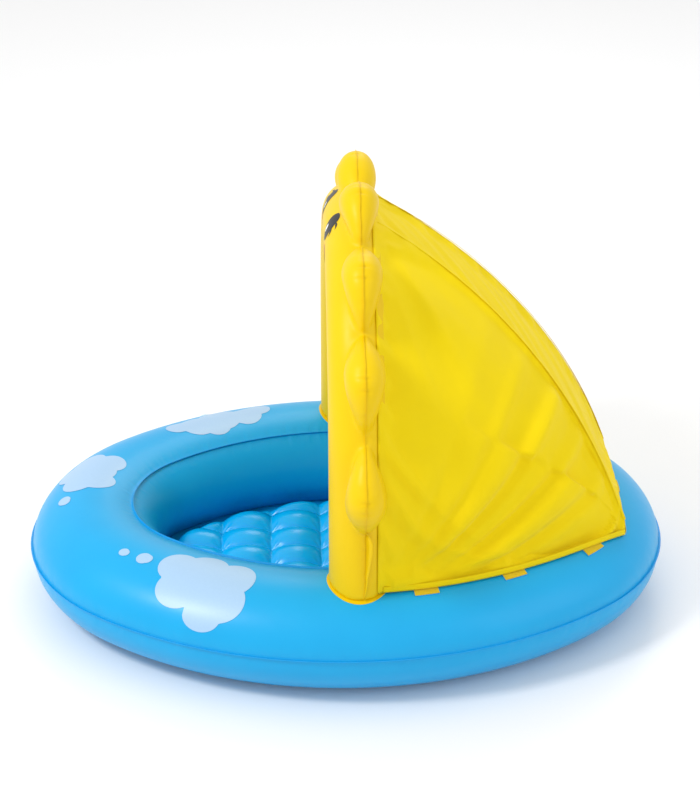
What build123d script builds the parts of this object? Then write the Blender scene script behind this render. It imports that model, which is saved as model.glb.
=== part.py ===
from build123d import *
import math
import os

# Inflatable paddling pool with a sun-shaped arch and a fabric sunshade.
# Origin: centre of the pool's footprint on the ground. +X runs from the open end towards the
# shaded end, +Y across the pool, +Z up. All sizes are in millimetres.

# --- Air ring ---
RING_HALF_LENGTH = 456.0      # centreline of the tube, along X
RING_HALF_WIDTH = 326.0       # centreline of the tube, along Y
RING_END_RADIUS = 250.0       # the two tighter bends of the oval
TUBE_HALF_WIDTH = 115.5       # half the tube's width, level with the ground
TUBE_HALF_HEIGHT = 95.0       # half the tube's height before the ground flattens it
GROUND_FLAT = 3.0             # how much of the tube the ground flattens
FILM = 1.0                    # wall of every welded film part
OUTER_SEAM_ANGLE = 4.0        # from level, round the tube's section
INNER_SEAM_ANGLE = 126.0
SEAM_WIDTH = 3.5
SEAM_THICKNESS = 1.6

# --- Quilted floor ---
FLOOR_HEIGHT = 66.0
FLOOR_WALL_GAP = 6.0          # between the floor's edge and the tube's inner wall
FLOOR_EDGE_RADIUS = 12.0
QUILT_PITCH_X = 91.7
QUILT_PITCH_Y = 64.5
QUILT_COLUMNS = 8
QUILT_ROWS = 6
PIT_TOP_RADIUS = 21.0
PIT_BOTTOM_RADIUS = 8.0
PIT_EDGE_MARGIN = 2.0
SPOT_WELD_HEIGHT = 2.0

# --- Sun arch ---
ARCH_X = 12.0                 # plane of the arch's welded seam
ARCH_CENTRE_Z = 375.0         # centre of the arch's round top
ARCH_OUTER_RADIUS = RING_HALF_WIDTH + 54.0    # the legs stand on the ring's crest
ARCH_INNER_RADIUS = ARCH_OUTER_RADIUS - TUBE_HALF_WIDTH - 0.5
ARCH_HALF_THICKNESS = 51.0    # along X
RAY_TIP_RADIUS = ARCH_OUTER_RADIUS + 60.0
RAY_HALF_LENGTH = 88.0        # along the arch's outline
RAY_RADIUS = 37.0             # half the ray's size along its own axis
RAY_HALF_THICKNESS = 31.0     # along X
RAYS_PER_SIDE = 4
FIRST_RAY_ANGLE = 12.75       # from the top of the arch
RAY_PITCH = 25.5
FOOT_PATCH_MARGIN = 4.0
ARCH_SEAM_WIDTH = 4.0

# --- Sunshade ---
CLOTH = 1.2
CLOTH_GAP = 1.0               # between the cloth and what it passes
HEM_GAP = 0.9                 # between the hem and the patches under it
RIDGE_FRONT_Y = 62.0
REAR_X = RING_HALF_LENGTH + 32.0              # rear corners of the sunshade
RIDGE_MID = (REAR_X - 143.0, 108.0, 470.0)
REAR_HALF_WIDTH = 156.0
REAR_EDGE_RISE = 26.0         # seam at each rear corner
HEM_BULGE_X = RING_HALF_LENGTH - 171.0        # control point of the curved side hems
HEM_BULGE_Y = RING_HALF_WIDTH + 16.0
CROWN = 7.0                   # how far the top panel bulges between its ribs
REAR_CROWN = 15.0
CLOTH_ATTACH_ANGLE = 45.0     # round the arch's section, from its outline to its back
BINDING_WIDTH = 14.0
RIB_RADIUS = 2.0
RIB_FIT = 0.3
SLEEVE_WALL = 0.8
PATCH_DEPTH = 20.0            # hook and loop patches, round the tube
PATCH_LENGTH = 42.0           # along the hem
PATCH_THICKNESS = 1.5

# --- Air valves ---
VALVE_FLANGE_RADIUS = 15.0
VALVE_FLANGE_HEIGHT = 1.6
SLEEVE_RADIUS = 9.0
SLEEVE_BORE = 7.1
SLEEVE_DEPTH = 14.0
STEM_RUNNING_GAP = 0.1
STEM_BORE = 4.6
STEM_COLLAR_RADIUS = 9.0
STEM_COLLAR_HEIGHT = 1.5
STEM_LENGTH = 17.0
SEAT_GAP = 0.3
FLAP_THICKNESS = 0.6
PLUG_LENGTH = 4.2
PLUG_TIP_RADIUS = 3.4
CAP_RADIUS = 7.5
CAP_THICKNESS = 1.3
STRAP_WIDTH = 5.0
HINGE_REACH = 12.0            # from the valve's axis to the strap's fold
RING_VALVE_ANGLE = 24.0       # round the side bend, towards the open end
RING_VALVE_SLOPE = 38.0       # up the tube's section
FLOOR_VALVE_X = 275.0
ARCH_VALVE_Z = 290.0

END_CENTRE_X = RING_HALF_LENGTH - RING_END_RADIUS
SIDE_RADIUS = (
    (END_CENTRE_X**2 + RING_HALF_WIDTH**2 - RING_END_RADIUS**2)
    / (2 * (RING_HALF_WIDTH - RING_END_RADIUS))
)
SIDE_CENTRE_Y = SIDE_RADIUS - RING_HALF_WIDTH
END_ARC = math.degrees(math.atan2(SIDE_CENTRE_Y, END_CENTRE_X))
TUBE_CENTRE_Z = TUBE_HALF_HEIGHT - GROUND_FLAT
ARCH_MID_RADIUS = (ARCH_OUTER_RADIUS + ARCH_INNER_RADIUS) / 2
ARCH_HALF_WIDTH = (ARCH_OUTER_RADIUS - ARCH_INNER_RADIUS) / 2


# ---------------------------------------------------------------- helpers

def oval_face(offset):
    """Flat oval parallel to the ring's centreline, at z = 0."""
    end_radius = RING_END_RADIUS + offset
    side_radius = SIDE_RADIUS + offset
    side_arc = 180 - 2 * END_ARC
    arcs = [
        CenterArc((END_CENTRE_X, 0), end_radius, -END_ARC, 2 * END_ARC),
        CenterArc((0, -SIDE_CENTRE_Y), side_radius, END_ARC, side_arc),
        CenterArc((-END_CENTRE_X, 0), end_radius, 180 - END_ARC, 2 * END_ARC),
        CenterArc((0, SIDE_CENTRE_Y), side_radius, 180 + END_ARC, side_arc),
    ]
    return make_face(Curve() + arcs)


def oval_block(offset, bottom, top):
    """Upright oval block between two heights."""
    return Pos(0, 0, bottom) * extrude(oval_face(offset), top - bottom)


def tube_section(grow):
    """The tube's section, flattened by the ground, drawn about its own centre."""
    ellipse = Ellipse(TUBE_HALF_WIDTH + grow, TUBE_HALF_HEIGHT + grow)
    reach = 2 * TUBE_HALF_WIDTH + 50
    ground = Pos(0, -TUBE_CENTRE_Z - grow) * Rectangle(reach, 400, align=(Align.CENTER, Align.MIN))
    return ellipse & ground


def around_ring(section):
    """Carries a section, drawn with X outwards and Y up, round the oval centreline."""
    bends = [
        (END_CENTRE_X, 0, RING_END_RADIUS, -END_ARC, END_ARC),
        (0, -SIDE_CENTRE_Y, SIDE_RADIUS, END_ARC, 180 - END_ARC),
        (-END_CENTRE_X, 0, RING_END_RADIUS, 180 - END_ARC, 180 + END_ARC),
        (0, SIDE_CENTRE_Y, SIDE_RADIUS, 180 + END_ARC, 360 - END_ARC),
    ]
    return fuse_all([bend_of(section, *bend) for bend in bends])


def bend_of(section, centre_x, centre_y, radius, start, stop):
    """One bend of the ring: the section revolved about the bend's centre."""
    placed = Plane.XZ * Pos(radius, TUBE_CENTRE_Z) * section
    swept = revolve(placed, Axis.Z, stop - start)
    return Pos(centre_x, centre_y, 0) * Rot(0, 0, start) * swept


def fuse_all(shapes):
    """Joins shapes into one."""
    joined = shapes[0]
    for shape in shapes[1:]:
        joined = joined + shape
    return joined


def section_point(angle, grow=0.0):
    """Point on the tube's section, from its centre; the angle is from level outwards."""
    x = (TUBE_HALF_WIDTH + grow) * math.cos(math.radians(angle))
    y = (TUBE_HALF_HEIGHT + grow) * math.sin(math.radians(angle))
    return (x, y)


def section_slope(angle):
    """Direction, in degrees, of the section's outward normal at a section point."""
    x = math.cos(math.radians(angle)) / TUBE_HALF_WIDTH
    y = math.sin(math.radians(angle)) / TUBE_HALF_HEIGHT
    return math.degrees(math.atan2(y, x))


def distance_outside_centreline(x, y):
    """Level distance from the ring's centreline, positive outwards."""
    x = abs(x)
    y = abs(y)
    if math.atan2(y + SIDE_CENTRE_Y, x) < math.radians(END_ARC):
        return math.hypot(x - END_CENTRE_X, y) - RING_END_RADIUS
    return math.hypot(x, y + SIDE_CENTRE_Y) - SIDE_RADIUS


def ring_top(x, y, grow=0.0):
    """Height of the ring's upper surface, or of a layer that lies on it."""
    share = distance_outside_centreline(x, y) / (TUBE_HALF_WIDTH + grow)
    return TUBE_CENTRE_Z + (TUBE_HALF_HEIGHT + grow) * math.sqrt(1 - share**2)


def mirrored(shape):
    """The same piece on the other side of the pool."""
    return mirror(shape, Plane.XZ)


# ---------------------------------------------------------------- ring

def ring_sheets():
    """Upper and lower film of the ring, which meet at the two seams."""
    wall = tube_section(0) - tube_section(-FILM)
    outer = section_point(OUTER_SEAM_ANGLE)
    inner = section_point(INNER_SEAM_ANGLE)
    slope = (inner[1] - outer[1]) / (inner[0] - outer[0])
    reach = 2 * TUBE_HALF_WIDTH
    left = (-reach, outer[1] - slope * (reach + outer[0]))
    right = (reach, outer[1] + slope * (reach - outer[0]))
    above = make_face(Polyline([left, right, (reach, 3 * reach), (-reach, 3 * reach)], close=True))
    top_sheet = around_ring(wall & above)
    bottom_sheet = around_ring(wall - above)
    return top_sheet, bottom_sheet


def ring_seam(angle):
    """Narrow flange of doubled film that stands out along a seam."""
    x, y = section_point(angle)
    strip = Rectangle(2 * SEAM_WIDTH, SEAM_THICKNESS)
    placed = Pos(x, y) * Rot(0, 0, section_slope(angle)) * strip
    return around_ring(placed - tube_section(0))


def ring_solid(grow=0.0):
    """The ring's whole volume, used to shape what lies on it."""
    return around_ring(tube_section(grow))


def ring_patch(x, y, length, depth, lift, thickness):
    """Patch that follows the ring's upper surface at a plan position, square to the tube."""
    skin = tube_section(lift + thickness) - tube_section(lift)
    across = distance_outside_centreline(x, y)
    window = Pos(across, TUBE_HALF_HEIGHT) * Rectangle(depth, TUBE_HALF_HEIGHT)
    piece = skin & window
    if math.atan2(y + SIDE_CENTRE_Y, x) < math.radians(END_ARC):
        centre = (END_CENTRE_X, 0, RING_END_RADIUS)
    else:
        centre = (0, -SIDE_CENTRE_Y, SIDE_RADIUS)
    heading = math.degrees(math.atan2(y - centre[1], x - centre[0]))
    half = math.degrees(length / 2 / (centre[2] + across))
    return bend_of(piece, *centre, heading - half, heading + half)


# ---------------------------------------------------------------- floor

def floor_edge_offset():
    """Offset from the ring's centreline to the floor's edge, clear of the tube at all heights."""
    return -(TUBE_HALF_WIDTH + FLOOR_WALL_GAP)


def quilt_points():
    """Plan positions of the spot welds that lie well inside the floor's edge."""
    spread = PIT_TOP_RADIUS + FLOOR_EDGE_RADIUS + PIT_EDGE_MARGIN
    points = []
    for column in range(QUILT_COLUMNS):
        for row in range(QUILT_ROWS):
            x = (column - (QUILT_COLUMNS - 1) / 2) * QUILT_PITCH_X
            y = (row - (QUILT_ROWS - 1) / 2) * QUILT_PITCH_Y
            if distance_outside_centreline(x, y) + spread < floor_edge_offset():
                points.append((x, y))
    return points


def quilted_half(wall):
    """Solid half of the floor above its middle, shrunk by a wall, with the weld pits cut."""
    half_height = FLOOR_HEIGHT / 2
    block = oval_block(floor_edge_offset() - wall, 0, half_height - wall)
    rim = block.edges().group_by(Axis.Z)[-1]
    block = fillet(rim, FLOOR_EDGE_RADIUS - wall)
    depth = half_height - SPOT_WELD_HEIGHT / 2
    pit = Pos(0, 0, SPOT_WELD_HEIGHT / 2) * Cone(
        PIT_BOTTOM_RADIUS + wall, PIT_TOP_RADIUS + wall, depth,
        align=(Align.CENTER, Align.CENTER, Align.MIN),
    )
    base = Cylinder(PIT_BOTTOM_RADIUS + wall, SPOT_WELD_HEIGHT)
    pits = [Pos(x, y, 0) * (pit + base) for x, y in quilt_points()]
    return block - pits


def floor_sheets():
    """Upper and lower film of the floor, pillowed between the spot welds."""
    top = quilted_half(0) - quilted_half(FILM)
    caps = [pit_cap(x, y) for x, y in quilt_points()]
    top = fuse_all([top] + caps)
    middle = FLOOR_HEIGHT / 2
    upper = Pos(0, 0, middle) * top
    lower = Pos(0, 0, middle) * mirror(top, Plane.XY)
    valve_hole = Pos(FLOOR_VALVE_X, 0, FLOOR_HEIGHT) * Cylinder(SLEEVE_RADIUS, 4 * FILM)
    return upper - valve_hole, lower


def pit_cap(x, y):
    """Film across the bottom of one pit, which the spot weld holds."""
    disc = Cylinder(PIT_BOTTOM_RADIUS + FILM / 2, FILM, align=(Align.CENTER, Align.CENTER, Align.MIN))
    return Pos(x, y, SPOT_WELD_HEIGHT / 2) * disc


def floor_spot_welds():
    """Discs of fused film that tie the two floor sheets together at the pits."""
    disc = Cylinder(PIT_BOTTOM_RADIUS - FILM / 2, SPOT_WELD_HEIGHT)
    return Compound([Pos(x, y, FLOOR_HEIGHT / 2) * disc for x, y in quilt_points()])


def floor_rim_weld():
    """Flat strip that joins the floor's edge to the ring's inner wall."""
    half = SEAM_THICKNESS / 2
    middle = FLOOR_HEIGHT / 2
    reach = oval_block(floor_edge_offset() + TUBE_HALF_WIDTH / 2, middle - half, middle + half)
    inside = oval_block(floor_edge_offset(), 0, FLOOR_HEIGHT)
    return reach - inside - ring_solid()


# ---------------------------------------------------------------- arch

def arch_volume(shrink):
    """The arch's tube: two legs and a half-round top, without its rays."""
    section = Ellipse(ARCH_HALF_THICKNESS - shrink, ARCH_HALF_WIDTH - shrink)
    bow = Plane.XY * Pos(0, ARCH_MID_RADIUS) * section
    top = revolve(bow, Axis.X, 180)
    foot = Pos(0, ARCH_MID_RADIUS) * section
    leg = extrude(foot, -ARCH_CENTRE_Z + TUBE_CENTRE_Z)
    whole = top + leg + mirrored(leg)
    return Pos(ARCH_X, 0, ARCH_CENTRE_Z) * whole


def ray_angles():
    """Angles of one side's rays from the top of the arch."""
    return [FIRST_RAY_ANGLE + RAY_PITCH * step for step in range(RAYS_PER_SIDE)]


def rays(sign):
    """The air-filled rays of one side, each a thick lens that sits on the arch's outline."""
    pieces = []
    for angle in ray_angles():
        lens = Rot(0, 0, -sign * angle) * ray_lens(0) - arch_face(0)
        pieces.append(extrude(seam_plane() * lens, RAY_HALF_THICKNESS, both=True))
    return Compound(pieces)


def ray_lens(grow):
    """Flat outline of the ray at the top of the arch, drawn about the arch's centre."""
    centre_radius = RAY_TIP_RADIUS - RAY_RADIUS
    return Pos(0, centre_radius) * Ellipse(RAY_HALF_LENGTH + grow, RAY_RADIUS + grow)


def arch_face(grow):
    """Flat outline of the arch without rays or doorway, drawn about the arch's centre."""
    width = 2 * (ARCH_OUTER_RADIUS + grow)
    legs = Rectangle(width, ARCH_CENTRE_Z, align=(Align.CENTER, Align.MAX))
    return Circle(ARCH_OUTER_RADIUS + grow) + legs


def seam_plane():
    """Plane of the arch's seam, with the arch's centre as its origin."""
    return Plane((ARCH_X, 0, ARCH_CENTRE_Z), x_dir=(0, 1, 0), z_dir=(1, 0, 0))


def arch_shell(ring):
    """Hollow arch, cut to sit on the ring."""
    base = ring_solid(2 * FILM)
    hollow = (arch_volume(0) - ring) - (arch_volume(FILM) - base)
    valve_hole = arch_valve_place() * Cylinder(SLEEVE_RADIUS, 8 * FILM)
    return hollow - valve_hole


def arch_panels(shell):
    """Front and back film panels, which meet in the arch's seam plane."""
    reach = 3 * ARCH_OUTER_RADIUS
    slab = Pos(ARCH_X, 0, ARCH_CENTRE_Z) * Box(reach, reach, 2 * reach, align=(
        Align.MAX, Align.CENTER, Align.CENTER,
    ))
    return shell & slab, shell - slab


def arch_outline(grow):
    """Flat outline of the arch with its rays, drawn about the arch's centre."""
    outline = arch_face(grow)
    for angle in ray_angles():
        outline = outline + Rot(0, 0, -angle) * ray_lens(grow) + Rot(0, 0, angle) * ray_lens(grow)
    return outline


def arch_seam(ring):
    """Narrow flange of doubled film round the outline of the arch and its rays."""
    band = arch_outline(ARCH_SEAM_WIDTH) - arch_outline(0)
    flange = extrude(seam_plane() * band, SEAM_THICKNESS / 2, both=True)
    reach = 3 * ARCH_OUTER_RADIUS
    above = Pos(ARCH_X, 0, TUBE_CENTRE_Z) * Box(reach, reach, reach, align=(
        Align.CENTER, Align.CENTER, Align.MIN,
    ))
    return (flange & above) - ring


def foot_patch(ring, ring_grown):
    """Reinforcing patch welded to the ring under one foot, a little wider than the foot."""
    footprint = Pos(ARCH_X, -ARCH_MID_RADIUS, TUBE_CENTRE_Z) * extrude(
        Ellipse(ARCH_HALF_THICKNESS + FOOT_PATCH_MARGIN, ARCH_HALF_WIDTH + FOOT_PATCH_MARGIN),
        2 * TUBE_HALF_HEIGHT,
    )
    return (footprint & ring_grown) - ring


# ---------------------------------------------------------------- sunshade

def attach_point(angle):
    """Where the cloth meets the back of the arch, at an angle from the arch's top."""
    turn = math.radians(CLOTH_ATTACH_ANGLE)
    out = ARCH_MID_RADIUS + (ARCH_HALF_WIDTH + CLOTH_GAP + CLOTH) * math.cos(turn)
    x = ARCH_X + (ARCH_HALF_THICKNESS + CLOTH_GAP + CLOTH) * math.sin(turn)
    tilt = math.radians(angle)
    return Vector(x, -out * math.sin(tilt), ARCH_CENTRE_Z + out * math.cos(tilt))


def front_edge(share):
    """Front edge of the near side panel, from the ring (0) up to the ridge (1)."""
    top_angle = math.degrees(math.asin(RIDGE_FRONT_Y / -attach_point(90).Y))
    foot = hem(0)
    shoulder = attach_point(90)
    curve = math.radians(90 - top_angle) * -shoulder.Y
    straight = shoulder.Z - foot.Z
    along = share * (straight + curve)
    if along < straight:
        return Vector(foot.X, foot.Y, foot.Z + along)
    return attach_point(90 - math.degrees((along - straight) / -shoulder.Y))


def hem(share):
    """Hem of the near side panel on the ring, from the arch (0) to the rear corner (1)."""
    start = attach_point(90)
    a = (1 - share) ** 2
    b = 2 * share * (1 - share)
    c = share**2
    x = a * start.X + b * HEM_BULGE_X + c * REAR_X
    y = a * start.Y - b * HEM_BULGE_Y - c * REAR_HALF_WIDTH
    return Vector(x, y, ring_top(x, y, hem_lift()))


def hem_lift():
    """Room under the hem for the hook and loop patches."""
    return 2 * PATCH_THICKNESS + HEM_GAP


def ridge_arc():
    """Near ridge of the sunshade, from the arch to the rear corner."""
    start = front_edge(1)
    corner = hem(1)
    stop = corner + Vector(-CLOTH, CLOTH, REAR_EDGE_RISE)
    return ThreePointArc(start, Vector(RIDGE_MID[0], -RIDGE_MID[1], RIDGE_MID[2]), stop)


def rear_side_edge(share):
    """Short seam at the rear corner, from the hem (0) to the ridge (1)."""
    return hem(1) + (ridge_arc() @ 1 - hem(1)) * share


def side_point(ridge, along, up):
    """Point of the near side panel, blended from its four edges."""
    low = hem(along)
    high = ridge @ along
    front = front_edge(up)
    rear = rear_side_edge(up)
    ruled = low * (1 - up) + high * up
    cross = front * (1 - along) + rear * along
    corners = (
        hem(0) * ((1 - along) * (1 - up)) + hem(1) * (along * (1 - up))
        + (ridge @ 0) * ((1 - along) * up) + (ridge @ 1) * (along * up)
    )
    return ruled + cross - corners


def top_point(ridge, along, across):
    """Point of the top panel; across runs from the near ridge (-1) to the far ridge (1)."""
    edge = ridge @ along
    crown = CROWN + (REAR_CROWN - CROWN) * along
    return Vector(edge.X, -across * edge.Y, edge.Z + crown * (1 - across**2))


def rear_point(ridge, across, up):
    """Point of the short rear drop between the ridges' ends and the rear hem."""
    high = top_point(ridge, 1, across)
    y = across * REAR_HALF_WIDTH
    low = Vector(REAR_X, y, ring_top(REAR_X, y, hem_lift()))
    return low * (1 - up) + high * up


def cloth_panel(rows, inward):
    """Cloth of even thickness through a grid of surface points."""
    surface = Face.make_surface_from_array_of_points(rows)
    return Solid.thicken(surface, CLOTH, inward)


def grid(count, low, high):
    """Evenly spaced values from low to high."""
    return [low + (high - low) * step / (count - 1) for step in range(count)]


def side_panel(ridge):
    """Near side panel."""
    rows = [[side_point(ridge, u, v) for v in grid(9, 0, 1)] for u in grid(11, 0, 1)]
    return cloth_panel(rows, (0, 1, -1))


def top_panel(ridge):
    """Top panel between the two ridges, set in from the side panels by the seam."""
    inset = 1 - (CLOTH + SEAT_GAP) / RIDGE_FRONT_Y
    rows = [[top_point(ridge, u, w) for w in grid(7, -inset, inset)] for u in grid(11, 0, 1)]
    return cloth_panel(rows, (-1, 0, -1))


def rear_panel(ridge):
    """Rear drop of the sunshade, from the top panel to the rear hem."""
    inset = 1 - (CLOTH + SEAT_GAP) / REAR_HALF_WIDTH
    rise = REAR_EDGE_RISE
    top = 1 - (CLOTH + SEAT_GAP) / rise
    rows = [[rear_point(ridge, w, v) for v in grid(3, 0, top)] for w in grid(9, -inset, inset)]
    return cloth_panel(rows, (-1, 0, 0))


def rib_path(ridge, drop):
    """Path of a rib, a set distance inside the ridge and square to it."""
    points = []
    for share in (0.03, 0.5, 0.97):
        here = ridge @ share
        along = (ridge % share).normalized()
        to_top = square_to(along, top_point(ridge, share, -0.8) - here)
        to_side = square_to(along, side_point(ridge, share, 0.9) - here)
        half_angle = math.radians(to_top.get_angle(to_side) / 2)
        points.append(here + (to_top + to_side).normalized() * (drop / math.sin(half_angle)))
    return ThreePointArc(points)


def square_to(along, direction):
    """Unit vector of a direction with its part along another direction taken out."""
    return (direction - along * direction.dot(along)).normalized()


def rod_along(path, radius):
    """Round rod along a path."""
    start = Plane(origin=path @ 0, z_dir=path % 0)
    return sweep(start * Circle(radius), path)


def rib_parts(ridge):
    """Flexible rib and the cloth sleeve that holds it under the ridge seam."""
    bore = RIB_RADIUS + RIB_FIT
    outside = bore + SLEEVE_WALL
    path = rib_path(ridge, outside + CLOTH + 2 * SEAT_GAP)
    rib = rod_along(path, RIB_RADIUS)
    sleeve = rod_along(path, outside) - rod_along(path, bore)
    return rib, sleeve


def front_binding():
    """Strip that joins the cloth's front edge to the back of the arch."""
    inner = ARCH_MID_RADIUS + (ARCH_HALF_WIDTH + SEAT_GAP) * math.cos(math.radians(CLOTH_ATTACH_ANGLE))
    x = ARCH_X + (ARCH_HALF_THICKNESS + SEAT_GAP) * math.sin(math.radians(CLOTH_ATTACH_ANGLE))
    strip = Pos(x, inner) * Rot(0, 0, -CLOTH_ATTACH_ANGLE) * Rectangle(
        BINDING_WIDTH, 2 * (CLOTH_GAP - 2 * SEAT_GAP),
    )
    bow = revolve(strip, Axis.X, 180)
    leg = extrude(strip, -(ARCH_CENTRE_Z - ring_top(ARCH_X, ARCH_MID_RADIUS) - 3 * SEAM_WIDTH))
    whole = Pos(0, 0, ARCH_CENTRE_Z) * (bow + leg + mirrored(leg))
    return whole - arch_volume(0)


def hem_patches(lift):
    """Row of hook or loop patches under the hem, near side, far side and rear corners."""
    pieces = []
    for share in (0.16, 0.5, 0.84):
        place = hem(share)
        patch = mirrored(ring_patch(place.X, -place.Y, PATCH_LENGTH, PATCH_DEPTH, lift, PATCH_THICKNESS))
        pieces += [patch, mirrored(patch)]
    pieces.append(ring_patch(REAR_X - CLOTH, 0, PATCH_LENGTH, PATCH_DEPTH, lift, PATCH_THICKNESS))
    return Compound(pieces)


# ---------------------------------------------------------------- valves

def ring_valve_place():
    """Place and direction of the ring's valve on the far outer side of the tube."""
    x, y = section_point(RING_VALVE_SLOPE)
    local = Pos(SIDE_RADIUS + x, 0, TUBE_CENTRE_Z + y) * Rot(0, 90 - section_slope(RING_VALVE_SLOPE), 0)
    return Pos(0, -SIDE_CENTRE_Y, 0) * Rot(0, 0, 90 + RING_VALVE_ANGLE) * local


def floor_valve_place():
    """Place of the floor's valve, pointing up, under the sunshade."""
    return Pos(FLOOR_VALVE_X, 0, FLOOR_HEIGHT)


def arch_valve_place():
    """Place and direction of the arch's valve, on the back of the far leg."""
    return Pos(ARCH_X + ARCH_HALF_THICKNESS, ARCH_MID_RADIUS, ARCH_VALVE_Z) * Rot(0, 90, 0) * Rot(0, 0, -90)


def upright(radius, bottom, top):
    """Round piece on the valve's axis between two heights."""
    return Pos(0, 0, bottom) * Cylinder(radius, top - bottom, align=(Align.CENTER, Align.CENTER, Align.MIN))


def valve_base(skin_volume, place):
    """Flange welded outside the film, and the sleeve through it."""
    flange = place * upright(VALVE_FLANGE_RADIUS, -SLEEVE_DEPTH / 2, VALVE_FLANGE_HEIGHT) - skin_volume
    sleeve = place * upright(SLEEVE_RADIUS, -SLEEVE_DEPTH, VALVE_FLANGE_HEIGHT)
    bore = place * upright(SLEEVE_BORE, -2 * SLEEVE_DEPTH, 2 * SLEEVE_DEPTH)
    return flange + sleeve - bore


def valve_stem(place):
    """Tube that slides in the sleeve, with its collar and the fixed half of the strap."""
    collar_low = VALVE_FLANGE_HEIGHT + SEAT_GAP
    collar_top = collar_low + STEM_COLLAR_HEIGHT
    body = upright(SLEEVE_BORE - STEM_RUNNING_GAP, collar_top - STEM_LENGTH, collar_top)
    collar = upright(STEM_COLLAR_RADIUS, collar_low, collar_top)
    lug = Pos(0, 0, collar_low) * Box(HINGE_REACH, STRAP_WIDTH, STEM_COLLAR_HEIGHT, align=(
        Align.MIN, Align.CENTER, Align.MIN,
    ))
    bore = upright(STEM_BORE, -2 * STEM_LENGTH, 2 * STEM_LENGTH)
    return place * (body + collar + lug - bore)


def valve_flap(place):
    """Film flap that closes the stem's inner end when air pushes back."""
    bottom = VALVE_FLANGE_HEIGHT + SEAT_GAP + STEM_COLLAR_HEIGHT - STEM_LENGTH
    return place * upright(SLEEVE_BORE - STEM_RUNNING_GAP, bottom - FLAP_THICKNESS, bottom)


def valve_plug(place):
    """Tapered plug with its cap and the moving half of the strap."""
    seat = VALVE_FLANGE_HEIGHT + SEAT_GAP + STEM_COLLAR_HEIGHT + SEAT_GAP
    taper = Pos(0, 0, seat - PLUG_LENGTH) * Cone(
        PLUG_TIP_RADIUS, STEM_BORE - SEAT_GAP, PLUG_LENGTH, align=(Align.CENTER, Align.CENTER, Align.MIN),
    )
    cap = upright(CAP_RADIUS, seat, seat + CAP_THICKNESS)
    strap = Pos(0, 0, seat) * Box(HINGE_REACH, STRAP_WIDTH, CAP_THICKNESS, align=(
        Align.MIN, Align.CENTER, Align.MIN,
    ))
    return place * (taper + cap + strap)


def floor_block():
    """The floor's volume, used to shape its valve flange."""
    return oval_block(floor_edge_offset(), 0, FLOOR_HEIGHT)


# ---------------------------------------------------------------- assembly

def pool_nodes(ring):
    """Ring and floor."""
    ring_top_sheet, ring_bottom_sheet = ring_sheets()
    hole = ring_valve_place() * Cylinder(SLEEVE_RADIUS, 8 * FILM)
    floor_top, floor_bottom = floor_sheets()
    return {
        "ring_top_sheet": ring_top_sheet - hole,
        "ring_bottom_sheet": ring_bottom_sheet,
        "ring_outer_seam": ring_seam(OUTER_SEAM_ANGLE),
        "ring_inner_seam": ring_seam(INNER_SEAM_ANGLE),
        "floor_top_sheet": floor_top,
        "floor_bottom_sheet": floor_bottom,
        "floor_rim_weld": floor_rim_weld(),
        "floor_spot_welds": floor_spot_welds(),
    }


def arch_nodes(ring, ring_grown):
    """Sun arch and the patches under its feet."""
    front, back = arch_panels(arch_shell(ring_grown))
    near_patch = foot_patch(ring, ring_grown)
    return {
        "sun_front_panel": front,
        "sun_back_panel": back,
        "sun_rays_near": rays(1),
        "sun_rays_far": rays(-1),
        "sun_outline_seam": arch_seam(ring_grown),
        "foot_patch_near": near_patch,
        "foot_patch_far": mirrored(near_patch),
    }


def sunshade_nodes():
    """Cloth panels, ribs and fastenings of the sunshade."""
    ridge = ridge_arc()
    side = side_panel(ridge)
    rib, sleeve = rib_parts(ridge)
    return {
        "sunshade_side_near": side,
        "sunshade_side_far": mirrored(side),
        "sunshade_top_panel": top_panel(ridge),
        "sunshade_rear_panel": rear_panel(ridge),
        "sunshade_front_binding": front_binding(),
        "sunshade_rib_near": rib,
        "sunshade_rib_far": mirrored(rib),
        "rib_sleeve_near": sleeve,
        "rib_sleeve_far": mirrored(sleeve),
        "hem_hook_patches": hem_patches(PATCH_THICKNESS),
        "ring_loop_patches": hem_patches(0.0),
    }


def valve_nodes(name, place, skin_volume):
    """The four pieces of one valve."""
    return {
        name + "_valve_base": valve_base(skin_volume, place),
        name + "_valve_stem": valve_stem(place),
        name + "_valve_flap": valve_flap(place),
        name + "_valve_plug": valve_plug(place),
    }


def build():
    """Builds every node and writes one file for each."""
    os.makedirs("parts", exist_ok=True)
    ring = ring_solid()
    nodes = {}
    nodes.update(pool_nodes(ring))
    nodes.update(arch_nodes(ring, ring_solid(FILM)))
    nodes.update(sunshade_nodes())
    nodes.update(valve_nodes("ring", ring_valve_place(), ring))
    nodes.update(valve_nodes("floor", floor_valve_place(), floor_block()))
    nodes.update(valve_nodes("arch", arch_valve_place(), arch_volume(0)))
    for name, shape in nodes.items():
        export_step(shape, "parts/" + name + ".step")


build()
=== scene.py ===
"""Inflatable paddling pool with a sun-shaped arch and a cloth sunshade."""

import logging
import math
from dataclasses import dataclass, field
from enum import Enum

import bpy
import numpy as np
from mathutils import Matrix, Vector
from mathutils.bvhtree import BVHTree


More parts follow.
